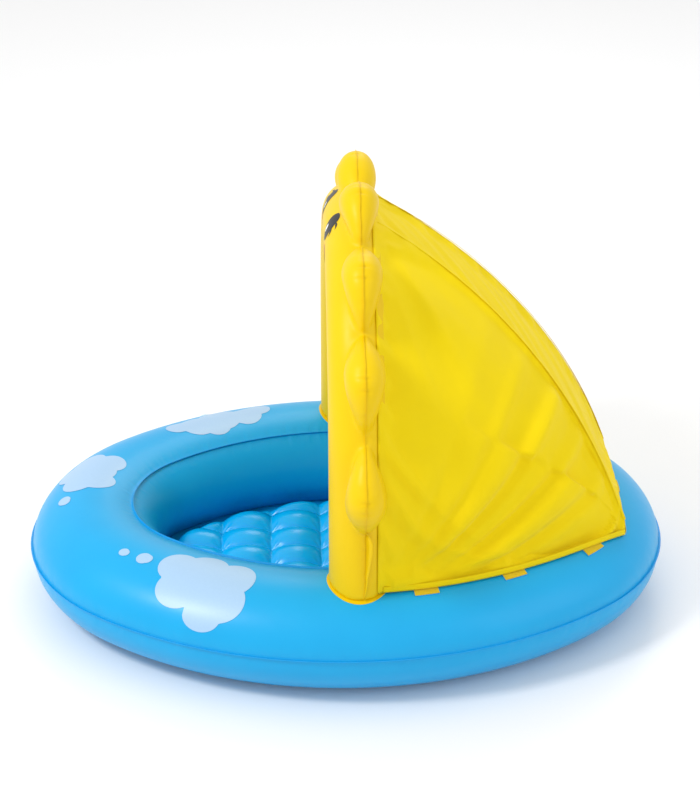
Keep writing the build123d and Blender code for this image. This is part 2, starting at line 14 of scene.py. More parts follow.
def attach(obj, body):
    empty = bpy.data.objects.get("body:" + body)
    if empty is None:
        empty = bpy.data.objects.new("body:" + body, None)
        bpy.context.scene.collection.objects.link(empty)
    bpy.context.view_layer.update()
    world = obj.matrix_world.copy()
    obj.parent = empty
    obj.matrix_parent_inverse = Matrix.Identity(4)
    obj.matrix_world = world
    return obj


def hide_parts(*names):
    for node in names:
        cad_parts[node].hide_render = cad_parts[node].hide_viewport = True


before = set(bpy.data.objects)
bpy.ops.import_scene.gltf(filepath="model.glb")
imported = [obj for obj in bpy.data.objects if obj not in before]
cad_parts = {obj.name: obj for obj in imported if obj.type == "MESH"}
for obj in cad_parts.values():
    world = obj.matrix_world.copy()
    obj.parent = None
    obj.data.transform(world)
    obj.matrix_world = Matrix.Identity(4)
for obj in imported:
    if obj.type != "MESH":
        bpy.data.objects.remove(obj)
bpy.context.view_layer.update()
POOL = "pool"
LOG = logging.getLogger("pool")
Grid = np.ndarray
Faces = list[tuple[int, ...]]
Triple = tuple[float, float, float]
Piece = bpy.types.Object
Mesh = bpy.types.Mesh
Material = bpy.types.Material
Socket = bpy.types.NodeSocket
Inputs = dict[str | int, float | tuple[float, ...] | Socket]
MM = 0.001
FULL_TURN = 2 * math.pi
QUARTER_TURN = math.pi / 2
CLOTH_THICKNESS = 0.5 * MM
PRINT_LIFT = 0.5 * MM


# ---------------------------------------------------------------- mesh helpers

class Wrap(Enum):
    """How a grid of points closes on itself."""

    OPEN = (False, False)
    ALONG = (True, False)
    AROUND = (False, True)


def grid_faces(rows: int, columns: int, wrap: Wrap) -> Faces:
    """Quads between neighbouring points of a grid.

    Args:
        rows: number of rows.
        columns: points in each row.
        wrap: which of the two directions closes.

    Returns:
        Faces as tuples of point numbers.
    """
    close_rows, close_columns = wrap.value
    faces = []
    for i in range(rows if close_rows else rows - 1):
        here = i * columns
        after = (i + 1) % rows * columns
        for j in range(columns if close_columns else columns - 1):
            k = (j + 1) % columns
            faces.append((here + j, here + k, after + k, after + j))
    return faces


def make_piece(name: str, points: Grid, faces: Faces, finish: Material) -> Piece:
    """Makes a smooth-shaded mesh object and links it to the scene.

    Args:
        name: name of the piece.
        points: n by 3 array of places, in metres.
        faces: faces as point numbers.
        finish: its material.

    Returns:
        The new object.
    """
    mesh = bpy.data.meshes.new(name)
    mesh.from_pydata([tuple(p) for p in points.tolist()], [], faces)
    mesh.update()
    mesh.shade_smooth()
    piece = bpy.data.objects.new(name, mesh)
    bpy.context.scene.collection.objects.link(piece)
    mesh.materials.append(finish)
    return piece


def grid_piece(name: str, grid: Grid, wrap: Wrap, finish: Material) -> Piece:
    """Makes a piece from a rows by columns by 3 grid of points."""
    rows, columns = grid.shape[:2]
    return make_piece(name, grid.reshape(-1, 3), grid_faces(rows, columns, wrap), finish)


def apply_modifiers(piece: Piece) -> None:
    """Replaces a piece's mesh by what its modifiers make of it.

    Args:
        piece: the piece.
    """
    graph = bpy.context.evaluated_depsgraph_get()
    mesh = bpy.data.meshes.new_from_object(piece.evaluated_get(graph), depsgraph=graph)
    piece.modifiers.clear()
    piece.data = mesh


def thicken(piece: Piece, offset: float) -> None:
    """Gives a cloth piece its thickness and smooth shading.

    Args:
        piece: the piece, whose other modifiers are applied first.
        offset: 0 to grow to both sides, -1 to grow inwards only.
    """
    thick = piece.modifiers.new("thickness", "SOLIDIFY")
    thick.thickness = CLOTH_THICKNESS
    thick.offset = offset
    apply_modifiers(piece)
    piece.data.shade_smooth()


def read_points(mesh: Mesh, what: str = "co") -> Grid:
    """Places of all points of a mesh, or another of their properties.

    Args:
        mesh: the mesh.
        what: Blender's name of the property; "normal" is the outward direction.

    Returns:
        An n by 3 array.
    """
    flat = np.empty(len(mesh.vertices) * 3)
    mesh.vertices.foreach_get(what, flat)
    return flat.reshape(-1, 3)


def write_points(mesh: Mesh, points: Grid) -> None:
    """Moves all points of a mesh to new places."""
    mesh.vertices.foreach_set("co", points.reshape(-1))
    mesh.update()


def unit(vectors: Grid) -> Grid:
    """Vectors scaled to length one."""
    return vectors / np.maximum(np.linalg.norm(vectors, axis=-1, keepdims=True), 1e-9)


def circle(steps: int) -> Grid:
    """Evenly spaced angles round a full turn, the last one short of the first."""
    return np.linspace(0, FULL_TURN, steps, endpoint=False)


def crossed(first: Grid, second: Grid) -> tuple[Grid, ...]:
    """Two rows of numbers as grids, one changing from row to row and one from column to column."""
    return tuple(np.meshgrid(first, second, indexing="ij"))


def ripple(place: Grid, *waves: float) -> Grid:
    """Sum of sines with unrelated wavelengths, from -1 to 1, so that a row of puckers isn't regular.

    Args:
        place: distances along the row, in metres.
        waves: the wavelengths, in metres.

    Returns:
        Height of the ripple at each place.
    """
    total = sum(np.sin(FULL_TURN * place / wave + 1.7 * i) for i, wave in enumerate(waves))
    return total / len(waves)


# ---------------------------------------------------------------- finishes

MIX_FACTOR = 0
MIX_LOW = 6
MIX_HIGH = 7
MIX_RESULT = 2
THREADS_PER_SCALE = 0.314


class Nodes:
    """Builds one node material around its Principled shader."""

    def __init__(self, name: str) -> None:
        """Starts a material.

        Args:
            name: name of the material.
        """
        self.material = bpy.data.materials.new(name)
        self.material.use_nodes = True
        self.tree = self.material.node_tree
        self.shader = self.tree.nodes["Principled BSDF"]
        self.place = self.tree.nodes.new("ShaderNodeTexCoord").outputs["Object"]

    def feed(self, node: bpy.types.Node, inputs: Inputs) -> None:
        """Sets inputs of a node.

        Args:
            node: the node.
            inputs: a number, a colour or another node's output for each input, by name or number.
        """
        for key, value in inputs.items():
            if isinstance(value, Socket):
                self.tree.links.new(value, node.inputs[key])
            else:
                node.inputs[key].default_value = value

    def noise(self, size: float, detail: float) -> Socket:
        """Soft noise.

        Args:
            size: size of its features, in metres.
            detail: how many finer layers it has.

        Returns:
            A factor from 0 to 1.
        """
        node = self.tree.nodes.new("ShaderNodeTexNoise")
        self.feed(node, {"Scale": 1 / size, "Detail": detail, "Vector": self.place})
        return node.outputs["Fac"]

    def threads(self, size: float, axis: str) -> Socket:
        """Parallel threads across an axis.

        Args:
            size: their spacing, in metres.
            axis: the axis, "X", "Y" or "Z".

        Returns:
            Their height, from 0 to 1.
        """
        node = self.tree.nodes.new("ShaderNodeTexWave")
        node.bands_direction = axis
        self.feed(node, {"Scale": THREADS_PER_SCALE / size, "Distortion": 0.6, "Vector": self.place})
        return node.outputs["Fac"]

    def blend(self, factor: Socket, low: Triple, high: Triple) -> None:
        """Colours the surface between two colours.

        Args:
            factor: where between them.
            low: colour at factor 0.
            high: colour at factor 1.
        """
        node = self.tree.nodes.new("ShaderNodeMix")
        node.data_type = "RGBA"
        self.feed(node, {MIX_FACTOR: factor, MIX_LOW: (*low, 1), MIX_HIGH: (*high, 1)})
        self.feed(self.shader, {"Base Color": node.outputs[MIX_RESULT]})

    def remap(self, factor: Socket, low: float, high: float) -> Socket:
        """Turns a factor into a number.

        Args:
            factor: the factor, from 0 to 1.
            low: the number at factor 0.
            high: the number at factor 1.

        Returns:
            The number.
        """
        node = self.tree.nodes.new("ShaderNodeMapRange")
        self.feed(node, {"To Min": low, "To Max": high, "Value": factor})
        return node.outputs["Result"]

    def add(self, first: Socket, second: Socket, weight: float) -> Socket:
        """Adds a weighted factor to another.

        Args:
            first: the factor that is added to.
            second: the factor that is weighted.
            weight: its weight.

        Returns:
            First plus weight times second.
        """
        node = self.tree.nodes.new("ShaderNodeMath")
        node.operation = "MULTIPLY_ADD"
        self.feed(node, {0: second, 1: weight, 2: first})
        return node.outputs[0]

    def bump(self, height: Socket, distance: float) -> None:
        """Raises the surface.

        Args:
            height: factor of the height.
            distance: height at factor 1, in metres.
        """
        node = self.tree.nodes.new("ShaderNodeBump")
        self.feed(node, {"Distance": distance, "Strength": 1.0, "Height": height})
        self.feed(self.shader, {"Normal": node.outputs["Normal"]})


@dataclass(frozen=True)
class Finish:
    """A finish whose colour wanders between a dark and a light tone."""

    name: str
    dark: Triple
    light: Triple


@dataclass(frozen=True)
class Film(Finish):
    """Soft vinyl film, stretched by air: satin gloss, faint mottling and shallow waves."""

    roughness: tuple[float, float] = (0.30, 0.40)
    coat: float = 0.18
    wave: float = 0.5 * MM
    specular: float = 0.32

    def material(self) -> Material:
        """Makes the finish.

        Returns:
            A node material.
        """
        nodes = Nodes(self.name)
        nodes.blend(nodes.noise(0.09, 3), self.dark, self.light)
        grain = nodes.noise(0.012, 4)
        nodes.feed(nodes.shader, {
            "Roughness": nodes.remap(grain, *self.roughness), "Coat Weight": self.coat,
            "Coat Roughness": 0.22, "Specular IOR Level": self.specular,
        })
        nodes.bump(nodes.add(nodes.noise(0.05, 2), grain, 0.12), self.wave)
        return nodes.material


@dataclass(frozen=True)
class Cloth(Finish):
    """Thin plain-woven polyester, matt with a soft sheen."""

    thread: float = 0.7 * MM

    def material(self) -> Material:
        """Makes the finish.

        Returns:
            A node material.
        """
        nodes = Nodes(self.name)
        mottle = nodes.noise(0.06, 4)
        nodes.blend(mottle, self.dark, self.light)
        weave = nodes.add(nodes.threads(self.thread, "X"), nodes.threads(self.thread, "Z"), 1.0)
        nodes.bump(nodes.add(weave, nodes.noise(0.018, 3), 5.0), 0.12 * MM)
        nodes.feed(nodes.shader, {
            "Roughness": nodes.remap(mottle, 0.62, 0.74), "Sheen Weight": 0.06,
            "Sheen Roughness": 0.4, "Specular IOR Level": 0.15,
        })
        return nodes.material


@dataclass(frozen=True)
class Ink(Finish):
    """Printed ink on film."""

    roughness: float = 0.38

    def material(self) -> Material:
        """Makes the finish.

        Returns:
            A node material.
        """
        nodes = Nodes(self.name)
        nodes.blend(nodes.noise(0.004, 4), self.dark, self.light)
        nodes.feed(nodes.shader, {"Roughness": self.roughness})
        nodes.bump(nodes.noise(0.002, 2), 0.03 * MM)
        return nodes.material


@dataclass(frozen=True)
class Moulded(Finish):
    """Small moulded vinyl or rod part."""

    grain: float = 0.003

    def material(self) -> Material:
        """Makes the finish.

        Returns:
            A node material.
        """
        nodes = Nodes(self.name)
        grain = nodes.noise(self.grain, 4)
        nodes.blend(grain, self.dark, self.light)
        nodes.feed(nodes.shader, {"Roughness": nodes.remap(grain, 0.35, 0.5)})
        nodes.bump(grain, 0.08 * MM)
        return nodes.material


BLUE_FILM = Film("ring_vinyl", (0.000, 0.35, 0.71), (0.001, 0.395, 0.77), (0.32, 0.42), 0.10)
FLOOR_FILM = Film("floor_vinyl", (0.000, 0.42, 0.90), (0.001, 0.50, 0.98), (0.20, 0.28), 0.20)
SEAM_FILM = Film("seam_vinyl", (0.001, 0.30, 0.68), (0.002, 0.35, 0.76), (0.3, 0.4), 0.1, 0.2 * MM)
YELLOW_FILM = Film("arch_vinyl", (0.79, 0.53, 0.000), (0.84, 0.58, 0.000), (0.36, 0.46), 0.0, 0.5 * MM, 0.2)
YELLOW_SEAM = Film("arch_seam_vinyl", (0.77, 0.51, 0.0), (0.82, 0.56, 0.0), (0.36, 0.46), 0.0, 0.2 * MM, 0.2)
YELLOW_CLOTH = Cloth("sunshade_weave", (0.87, 0.655, 0.000), (0.93, 0.71, 0.000))
CLOUD_INK = Ink("cloud_ink", (0.34, 0.53, 0.76), (0.38, 0.57, 0.80))
LOOP_TAPE = Cloth("loop_tape", (0.002, 0.34, 0.76), (0.004, 0.42, 0.86), 0.4 * MM)
EYE_INK = Ink("eye_ink", (0.003, 0.003, 0.003), (0.008, 0.008, 0.008))
GLINT_INK = Ink("glint_ink", (0.88, 0.87, 0.82), (0.95, 0.94, 0.9))
CHEEK_INK = Ink("cheek_ink", (0.86, 0.33, 0.06), (0.9, 0.38, 0.09))
VALVE_VINYL = Moulded("valve_vinyl", (0.55, 0.74, 0.84), (0.65, 0.82, 0.9))
ROD = Moulded("rib_rod_glass_fibre", (0.66, 0.66, 0.62), (0.75, 0.75, 0.71), 0.0015)
TAPE = Cloth("hook_and_loop_tape", (0.72, 0.5, 0.01), (0.86, 0.62, 0.03), 0.4 * MM)
STUDIO_PAPER = Ink("studio_paper", (0.9, 0.9, 0.9), (0.93, 0.93, 0.93))


# ---------------------------------------------------------------- ring

@dataclass
class OvalPath:
    """The ring's centreline: two tight end bends joined by two wide side bends."""

    half_length: float = 0.456
    half_width: float = 0.326
    end_radius: float = 0.250
    trial_places: int = 2881
    side_radius: float = field(init=False)
    side_centre: float = field(init=False)
    end_angle: float = field(init=False)
    length: float = field(init=False)

    def __post_init__(self) -> None:
        """Works out the wide bends and the length."""
        reach = self.half_length - self.end_radius
        top = reach**2 + self.half_width**2 - self.end_radius**2
        self.side_radius = top / (2 * (self.half_width - self.end_radius))
        self.side_centre = self.side_radius - self.half_width
        self.end_angle = math.atan2(self.side_centre, reach)
        side_angle = math.pi - 2 * self.end_angle
        self.length = 4 * self.end_radius * self.end_angle + 2 * self.side_radius * side_angle

    def at(self, distance: Grid) -> tuple[Grid, Grid]:
        """Points of the centreline and their outward directions.

        Args:
            distance: distances along the oval, from the start of the bend at the shaded end.

        Returns:
            Two arrays of plan points: the places and the outward directions.
        """
        reach = self.half_length - self.end_radius
        end_run = 2 * self.end_radius * self.end_angle
        side_run = self.side_radius * (math.pi - 2 * self.end_angle)
        bends = [
            (reach, 0.0, self.end_radius, -self.end_angle, end_run),
            (0.0, -self.side_centre, self.side_radius, self.end_angle, side_run),
            (-reach, 0.0, self.end_radius, math.pi - self.end_angle, end_run),
            (0.0, self.side_centre, self.side_radius, math.pi + self.end_angle, side_run),
        ]
        rest = np.mod(distance, self.length)
        place = np.zeros((*rest.shape, 2))
        outward = np.zeros_like(place)
        start = 0.0
        for x, y, radius, first, run in bends:
            here = (rest >= start) & (rest <= start + run)
            turn = first + (rest - start) / radius
            heading = np.stack([np.cos(turn), np.sin(turn)], axis=-1)
            place[here] = (np.array([x, y]) + radius * heading)[here]
            outward[here] = heading[here]
            start += run
        return place, outward

    def nearest(self, x: float, y: float) -> float:
        """Distance along the oval of the place nearest a plan point.

        Args:
            x: the plan point's x.
            y: the plan point's y.

        Returns:
            The distance.
        """
        trial = np.linspace(0, self.length, self.trial_places)
        place, _ = self.at(trial)
        return float(trial[np.argmin(np.hypot(place[:, 0] - x, place[:, 1] - y))])

    def outside(self, x: Grid, y: Grid) -> Grid:
        """Level distance of plan points from the centreline, positive outwards.

        Args:
            x: the plan points' x.
            y: the plan points' y.

        Returns:
            The distances.
        """
        x = np.abs(x)
        y = np.abs(y)
        at_end = np.arctan2(y + self.side_centre, x) < self.end_angle
        end = np.hypot(x - self.half_length + self.end_radius, y) - self.end_radius
        side = np.hypot(x, y + self.side_centre) - self.side_radius
        return np.where(at_end, end, side)


@dataclass
class AirRing:
    """The blue air ring with its printed clouds."""

    path: OvalPath = field(default_factory=OvalPath)
    half_width: float = 0.1155
    half_height: float = 0.095
    centre_height: float = 0.092
    outer_seam: float = math.radians(4)
    inner_seam: float = math.radians(126)
    steps_along: int = 560

    def surface(self, distance: Grid, turn: Grid, lift: float = 0.0) -> Grid:
        """Points of the tube's skin.

        Args:
            distance: distances along the ring.
            turn: angles round the tube, from level outwards.
            lift: height above the skin.

        Returns:
            The places as an array with a last axis of three.
        """
        place, outward = self.path.at(distance)
        sag = self.pucker(distance, turn)
        across = (self.half_width + lift - sag) * np.cos(turn)
        up = self.centre_height + (self.half_height + lift - sag) * np.sin(turn)
        flat = np.maximum(up, 0.0)
        return np.concatenate([place + outward * across[..., None], flat[..., None]], axis=-1)

    def pucker(self, distance: Grid, turn: Grid) -> Grid:
        """How far the skin dips beside its two seams, where the weld gathers it.

        Args:
            distance: distances along the ring.
            turn: angles round the tube.

        Returns:
            The dip at each place.
        """
        dip = np.zeros(np.broadcast(distance, turn).shape)
        for seam, depth, reach in ((self.inner_seam, 1.3 * MM, 0.020), (self.outer_seam, 1.6 * MM, 0.024)):
            away = np.abs(np.angle(np.exp(1j * (turn - seam)))) * self.half_width
            rows = 0.5 + 0.5 * ripple(distance + 0.2 * away, 0.019, 0.0131, 0.0313)
            dip = dip + depth * rows * np.exp(-((away / reach) ** 2)) * np.clip(away / 0.002, 0, 1)
        return dip

    def top(self, x: Grid, y: Grid, grow: float = 0.0) -> Grid:
        """Height of the ring's upper surface at plan points."""
        share = self.path.outside(x, y) / (self.half_width + grow)
        return self.centre_height + (self.half_height + grow) * np.sqrt(np.maximum(1 - share**2, 0))

    def film(self, name: str, start: float, stop: float, steps: int, node: str) -> Piece:
        """One of the ring's two films, between its seams.

        Args:
            name: name of the piece.
            start: first angle round the tube.
            stop: last angle round the tube.
            steps: points round the tube.
            node: the CAD node that the piece stands for.

        Returns:
            The new piece.
        """
        distance = np.linspace(0, self.path.length, self.steps_along, endpoint=False)
        grid = self.surface(*crossed(distance, np.linspace(start, stop, steps)))
        piece = grid_piece(name, grid, Wrap.ALONG, BLUE_FILM.material())
        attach(piece, POOL)
        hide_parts(node)
        return piece

    def build(self) -> None:
        """Makes both films and the printed clouds."""
        self.film("ring_upper_film", self.outer_seam, self.inner_seam, 64, "ring_top_sheet")
        self.film("ring_lower_film", self.inner_seam, self.outer_seam + FULL_TURN, 96, "ring_bottom_sheet")
        for cloud in CLOUDS:
            cloud.build(self)


@dataclass(frozen=True)
class CloudPrint:
    """A flat cloud printed on the ring, drawn as overlapping round puffs."""

    name: str
    x: float
    y: float
    turn: float
    puffs: tuple[Triple, ...]
    lift: float = PRINT_LIFT

    def outline(self, heading: Grid) -> Grid:
        """Distance from the cloud's middle to its edge, in each heading.

        Args:
            heading: the headings, as angles.

        Returns:
            The distances.
        """
        edge = np.zeros_like(heading)
        for along, around, radius in self.puffs:
            reach = along * np.cos(heading) + around * np.sin(heading)
            offset = along**2 + around**2
            inside = np.maximum(reach**2 - offset + radius**2, 0)
            edge = np.maximum(edge, np.where(inside > 0, reach + np.sqrt(inside), 0))
        return edge

    def build(self, ring: AirRing) -> Piece:
        """Lays the cloud on the ring's skin.

        Args:
            ring: the ring.

        Returns:
            The new piece.
        """
        heading = circle(160)
        edge = self.outline(heading)[:, None] * np.linspace(0, 1, 16)[None]
        along = edge * np.cos(heading)[:, None]
        around = edge * np.sin(heading)[:, None]
        start = ring.path.nearest(self.x, self.y)
        turn = math.radians(self.turn) + around / (0.5 * (ring.half_width + ring.half_height))
        grid = ring.surface(start + along, turn, self.lift)
        piece = grid_piece(self.name, grid, Wrap.ALONG, CLOUD_INK.material())
        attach(piece, POOL)
        return piece


CLOUDS = (
    CloudPrint("cloud_near", -0.250, -0.296, 66, (
        (-0.052, 0.026, 0.034), (-0.006, 0.034, 0.040), (0.048, 0.026, 0.038), (0.0, 0.0, 0.048),
        (0.040, -0.022, 0.042), (0.022, -0.054, 0.030), (-0.030, -0.018, 0.036),
    )),
    CloudPrint("cloud_near_puff", -0.361, -0.242, 76, ((0.0, 0.0, 0.0125), (0.006, 0.001, 0.010))),
    CloudPrint("cloud_near_small_puff", -0.393, -0.214, 74, ((0.0, 0.0, 0.0085), (0.003, 0.0, 0.007))),
    CloudPrint("cloud_end", -0.452, 0.078, 80, (
        (0.0, 0.0, 0.040), (0.034, 0.020, 0.028), (0.036, -0.014, 0.030), (-0.034, 0.014, 0.030),
        (-0.034, -0.026, 0.030), (0.0, -0.040, 0.028),
    )),
    CloudPrint("cloud_end_puff", -0.460, -0.010, 62, ((0.0, 0.0, 0.0115), (0.004, 0.002, 0.009))),
    CloudPrint("cloud_far", -0.240, 0.300, 84, (
        (0.0, 0.0, 0.040), (-0.050, 0.008, 0.030), (0.048, 0.006, 0.034), (0.084, -0.006, 0.022),
        (-0.080, -0.010, 0.022), (0.018, 0.020, 0.030),
    )),
)


# ---------------------------------------------------------------- floor

@dataclass
class QuiltedFloor:
    """The air floor: pillows between rows of spot welds."""

    path: OvalPath
    edge: float = -0.1220
    top: float = 0.0655
    middle: float = 0.033
    weld_height: float = 0.038
    pitch_x: float = 0.0917
    pitch_y: float = 0.0645
    edge_roll: float = 0.026
    rings: int = 170
    spokes: int = 520

    def quilt(self, x: Grid, y: Grid) -> Grid:
        """Height share of the quilting, 0 at a spot weld and 1 at a pillow's top.

        Args:
            x: the places' x.
            y: the places' y.

        Returns:
            The share at each place.
        """
        across = np.abs(np.cos(math.pi * x / self.pitch_x))
        along = np.abs(np.cos(math.pi * y / self.pitch_y))
        saddle = 1 - (1 - across**0.8) * (1 - along**0.8)
        pillow = (across * along) ** 0.55
        return 0.38 * saddle + 0.62 * pillow

    def creases(self, x: Grid, y: Grid) -> Grid:
        """Small folds that fan out from each spot weld.

        Args:
            x: the places' x.
            y: the places' y.

        Returns:
            Their height at each place, from -1 to 1.
        """
        weld_x = (np.round(x / self.pitch_x - 0.5) + 0.5) * self.pitch_x
        weld_y = (np.round(y / self.pitch_y - 0.5) + 0.5) * self.pitch_y
        away = np.hypot(x - weld_x, y - weld_y)
        heading = np.arctan2(y - weld_y, x - weld_x)
        return np.cos(8 * heading + 40 * weld_x) * np.exp(-(((away - 0.013) / 0.008) ** 2))

    def build(self) -> Piece:
        """Makes the floor as one closed skin.

        Returns:
            The new piece.
        """
        distance = np.linspace(0, self.path.length, self.spokes, endpoint=False)
        place, outward = self.path.at(distance)
        rim = place + outward * self.edge
        share = np.linspace(0, 1, self.rings) ** 0.75
        plan = rim[None] * share[:, None, None]
        x, y = plan[..., 0], plan[..., 1]
        inset = np.maximum(self.edge - self.path.outside(x, y), 0)
        roll = np.sqrt(np.clip(1 - (1 - np.minimum(inset / self.edge_roll, 1)) ** 2, 0, 1))
        height = self.weld_height + (self.top - self.weld_height) * self.quilt(x, y)
        height = height + 0.9 * MM * self.creases(x, y)
        upper = self.middle + (height - self.middle) * roll
        lower = np.maximum(2 * self.middle - upper, 0.0)
        grid = np.concatenate([
            np.stack([x, y, upper], axis=-1), np.stack([x, y, lower], axis=-1)[::-1][1:],
        ])
        piece = grid_piece("quilted_floor", grid, Wrap.AROUND, FLOOR_FILM.material())
        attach(piece, POOL)
        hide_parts("floor_top_sheet", "floor_bottom_sheet", "floor_spot_welds")
        return piece


# ---------------------------------------------------------------- arch

@dataclass
class SunArch:
    """The inflated arch with its rays and printed face."""

    ring: AirRing
    tube_x: float = 0.012
    seam_x: float = 0.020
    centre_height: float = 0.375
    outer_radius: float = 0.380
    inner_radius: float = 0.264
    half_thickness: float = 0.051
    ray_tip: float = 0.4395
    ray_half_length: float = 0.088
    ray_half_thickness: float = 0.034
    ray_depth: float = 0.040
    ray_root: float = 0.004
    ray_bend: float = 0.02
    tip_creases: tuple[float, float] = (-0.007, 0.014)
    neck: float = 0.009
    rays: tuple[tuple[float, float], ...] = ((11.2, -0.22), (36.0, -0.22), (61.0, -0.16), (88.2, 0.14))
    foot_lift: float = 1.2 * MM
    eye_angle: float = math.radians(9.5)
    eye_section: float = math.radians(54)
    lash_sections: tuple[float, float] = (math.radians(37), math.radians(53))
    cheek_angle: float = math.radians(14)
    cheek_section: float = math.radians(96)
    smile_section: float = math.radians(108)
    smile_half_width: float = 0.040
    smile_sag: float = 0.011
    smile_line: float = 0.0045
    voxel: float = 3.4 * MM
    skin: BVHTree | None = None

    @property
    def mid_radius(self) -> float:
        """Radius of the tube's centreline."""
        return (self.outer_radius + self.inner_radius) / 2

    @property
    def half_width(self) -> float:
        """Half the tube's size along its radius."""
        return (self.outer_radius - self.inner_radius) / 2

    @property
    def section_radius(self) -> float:
        """Mean radius of the tube's section."""
        return 0.5 * (self.half_width + self.half_thickness)

    @property
    def ray_bend_radius(self) -> float:
        """Radius along which the rays' lengths are measured."""
        return self.outer_radius + self.ray_bend

    def ray_angles(self) -> list[float]:
        """Angles of all rays from the top of the arch, near side first."""
        side = [math.radians(angle) for angle, _ in self.rays]
        return side + [-angle for angle in side]

    def ray_skews(self) -> list[float]:
        """How far each ray's fullest place lies from its middle, as a share of its half length."""
        side = [skew for _, skew in self.rays]
        return side + [-skew for skew in side]

    def around(self, angle: Grid, radius: Grid, x: Grid) -> Grid:
        """Points about the arch's centre.

        Args:
            angle: angles from the top, positive to the near side.
            radius: distances from the centre.
            x: places along x.

        Returns:
            The points.
        """
        y = -radius * np.sin(angle)
        z = self.centre_height + radius * np.cos(angle)
        return np.stack(np.broadcast_arrays(x, y, z), axis=-1)

    def tube(self) -> tuple[Grid, Faces]:
        """The closed arch tube: two legs that stand on the ring and a round top.

        Returns:
            Its points and faces.
        """
        turn = circle(72)
        radius = self.mid_radius + self.half_width * np.cos(turn)
        x = self.tube_x - self.half_thickness * np.sin(turn)
        bow = [self.around(np.array(a), radius, x) for a in np.linspace(QUARTER_TURN, -QUARTER_TURN, 120)]
        near, far = bow[0], bow[-1]
        legs_near, legs_far = [], []
        for share in np.linspace(1, 0.03, 28):
            for foot, rows in ((near, legs_near), (far, legs_far)):
                floor = self.ring.top(foot[:, 0], foot[:, 1], self.foot_lift)
                row = foot.copy()
                row[:, 2] = floor + (self.centre_height - floor) * (1 - share)
                rows.append(row)
        rows = legs_near + bow[1:-1] + legs_far[::-1]
        grid = np.array(rows)
        count, columns = grid.shape[:2]
        ends = np.array([grid[0].mean(axis=0), grid[-1].mean(axis=0)])
        points = np.concatenate([grid.reshape(-1, 3), ends])
        faces = grid_faces(count, columns, Wrap.AROUND)
        last = (count - 1) * columns
        for j in range(columns):
            k = (j + 1) % columns
            faces.append((count * columns, k, j))
            faces.append((count * columns + 1, last + j, last + k))
        return points, faces

    def ray_reach(self, away: Grid) -> Grid:
        """Outline of a ray.

        Args:
            away: distances from its middle along the arch.

        Returns:
            The radius at each distance.
        """
        share = np.clip(np.abs(away) / self.ray_half_length, 0, 1)
        tip = (1 - share**1.7) ** 0.9
        return self.outer_radius - self.ray_root + (self.ray_tip - self.outer_radius + self.ray_root) * tip

    def ray(self, angle: float, skew: float) -> tuple[Grid, Faces]:
        """One ray: a petal with a full tip that thins towards the necks beside it.

        Args:
            angle: place of its middle, from the top of the arch.
            skew: how far its fullest place lies from its middle, as a share of its half length.

        Returns:
            Its points and faces.
        """
        away = self.ray_half_length * np.sin(np.linspace(-QUARTER_TURN, QUARTER_TURN, 56))
        turn = circle(40)
        share = away / self.ray_half_length
        side = np.where(share > skew, (share - skew) / (1 - skew), (share - skew) / (1 + skew))
        full = np.cos(0.5 * math.pi * np.clip(side, -1, 1)) ** 1.35
        thickness = self.neck + (self.ray_half_thickness - self.neck) * full
        depth = self.neck + 0.006 + (self.ray_depth - self.neck - 0.006) * full
        centre = self.ray_reach(away) - depth
        middle = angle + away / self.ray_bend_radius
        radius = centre[:, None] + depth[:, None] * np.cos(turn)[None]
        x = self.seam_x + thickness[:, None] * np.sin(turn)[None]
        grid = self.around(middle[:, None], radius, x)
        count, columns = grid.shape[:2]
        faces = grid_faces(count, columns, Wrap.AROUND)
        faces.append(tuple(range(columns))[::-1])
        faces.append(tuple(range((count - 1) * columns, count * columns)))
        return grid.reshape(-1, 3), faces

    def gather(self, points: Grid, normals: Grid) -> Grid:
        """Puckers beside the outline seam, and the short creases across each ray's tip.

        Args:
            points: points of the skin.
            normals: the skin's direction at each.

        Returns:
            The points, moved.
        """
        y, z = points[:, 1], points[:, 2] - self.centre_height
        radius = np.hypot(y, z)
        angle = np.arctan2(-y, z)
        beside = np.abs(points[:, 0] - self.seam_x)
        outer = np.clip((radius - self.outer_radius + 0.012) / 0.02, 0, 1)
        run = angle * self.outer_radius
        rows = 0.5 + 0.5 * ripple(run, 0.0133, 0.0217, 0.0171)
        dip = 0.7 * MM * rows * np.exp(-((beside / 0.016) ** 2)) * outer
        for middle in self.ray_angles():
            away = np.angle(np.exp(1j * (angle - middle))) * self.ray_tip
            near_tip = np.clip((radius - self.ray_tip + 0.035) / 0.02, 0, 1)
            for crease in self.tip_creases:
                line = np.exp(-(((away - crease) / 0.0022) ** 2)) * np.exp(-((beside / 0.013) ** 2))
                dip = dip + 1.9 * MM * line * near_tip
        return points - normals * dip[:, None]

    def build_skin(self) -> None:
        """Joins the tube and its rays into one inflated skin, then parts it into its two panels."""
        rays = [self.ray(angle, skew) for angle, skew in zip(self.ray_angles(), self.ray_skews())]
        shells = [self.tube()] + rays
        points, faces, start = [], [], 0
        for shell_points, shell_faces in shells:
            points.append(shell_points)
            faces += [tuple(start + k for k in face) for face in shell_faces]
            start += len(shell_points)
        piece = make_piece("sun_front_film", np.concatenate(points), faces, YELLOW_FILM.material())
        remesh = piece.modifiers.new("weld", "REMESH")
        remesh.mode = "VOXEL"
        remesh.voxel_size = self.voxel
        remesh.use_smooth_shade = True
        smooth = piece.modifiers.new("relax", "SMOOTH")
        smooth.iterations = 5
        smooth.factor = 0.5
        apply_modifiers(piece)
        write_points(piece.data, self.gather(read_points(piece.data), read_points(piece.data, "normal")))
        self.skin = BVHTree.FromPolygons(
            [v.co for v in piece.data.vertices], [tuple(p.vertices) for p in piece.data.polygons],
        )
        self.part_panels(piece)

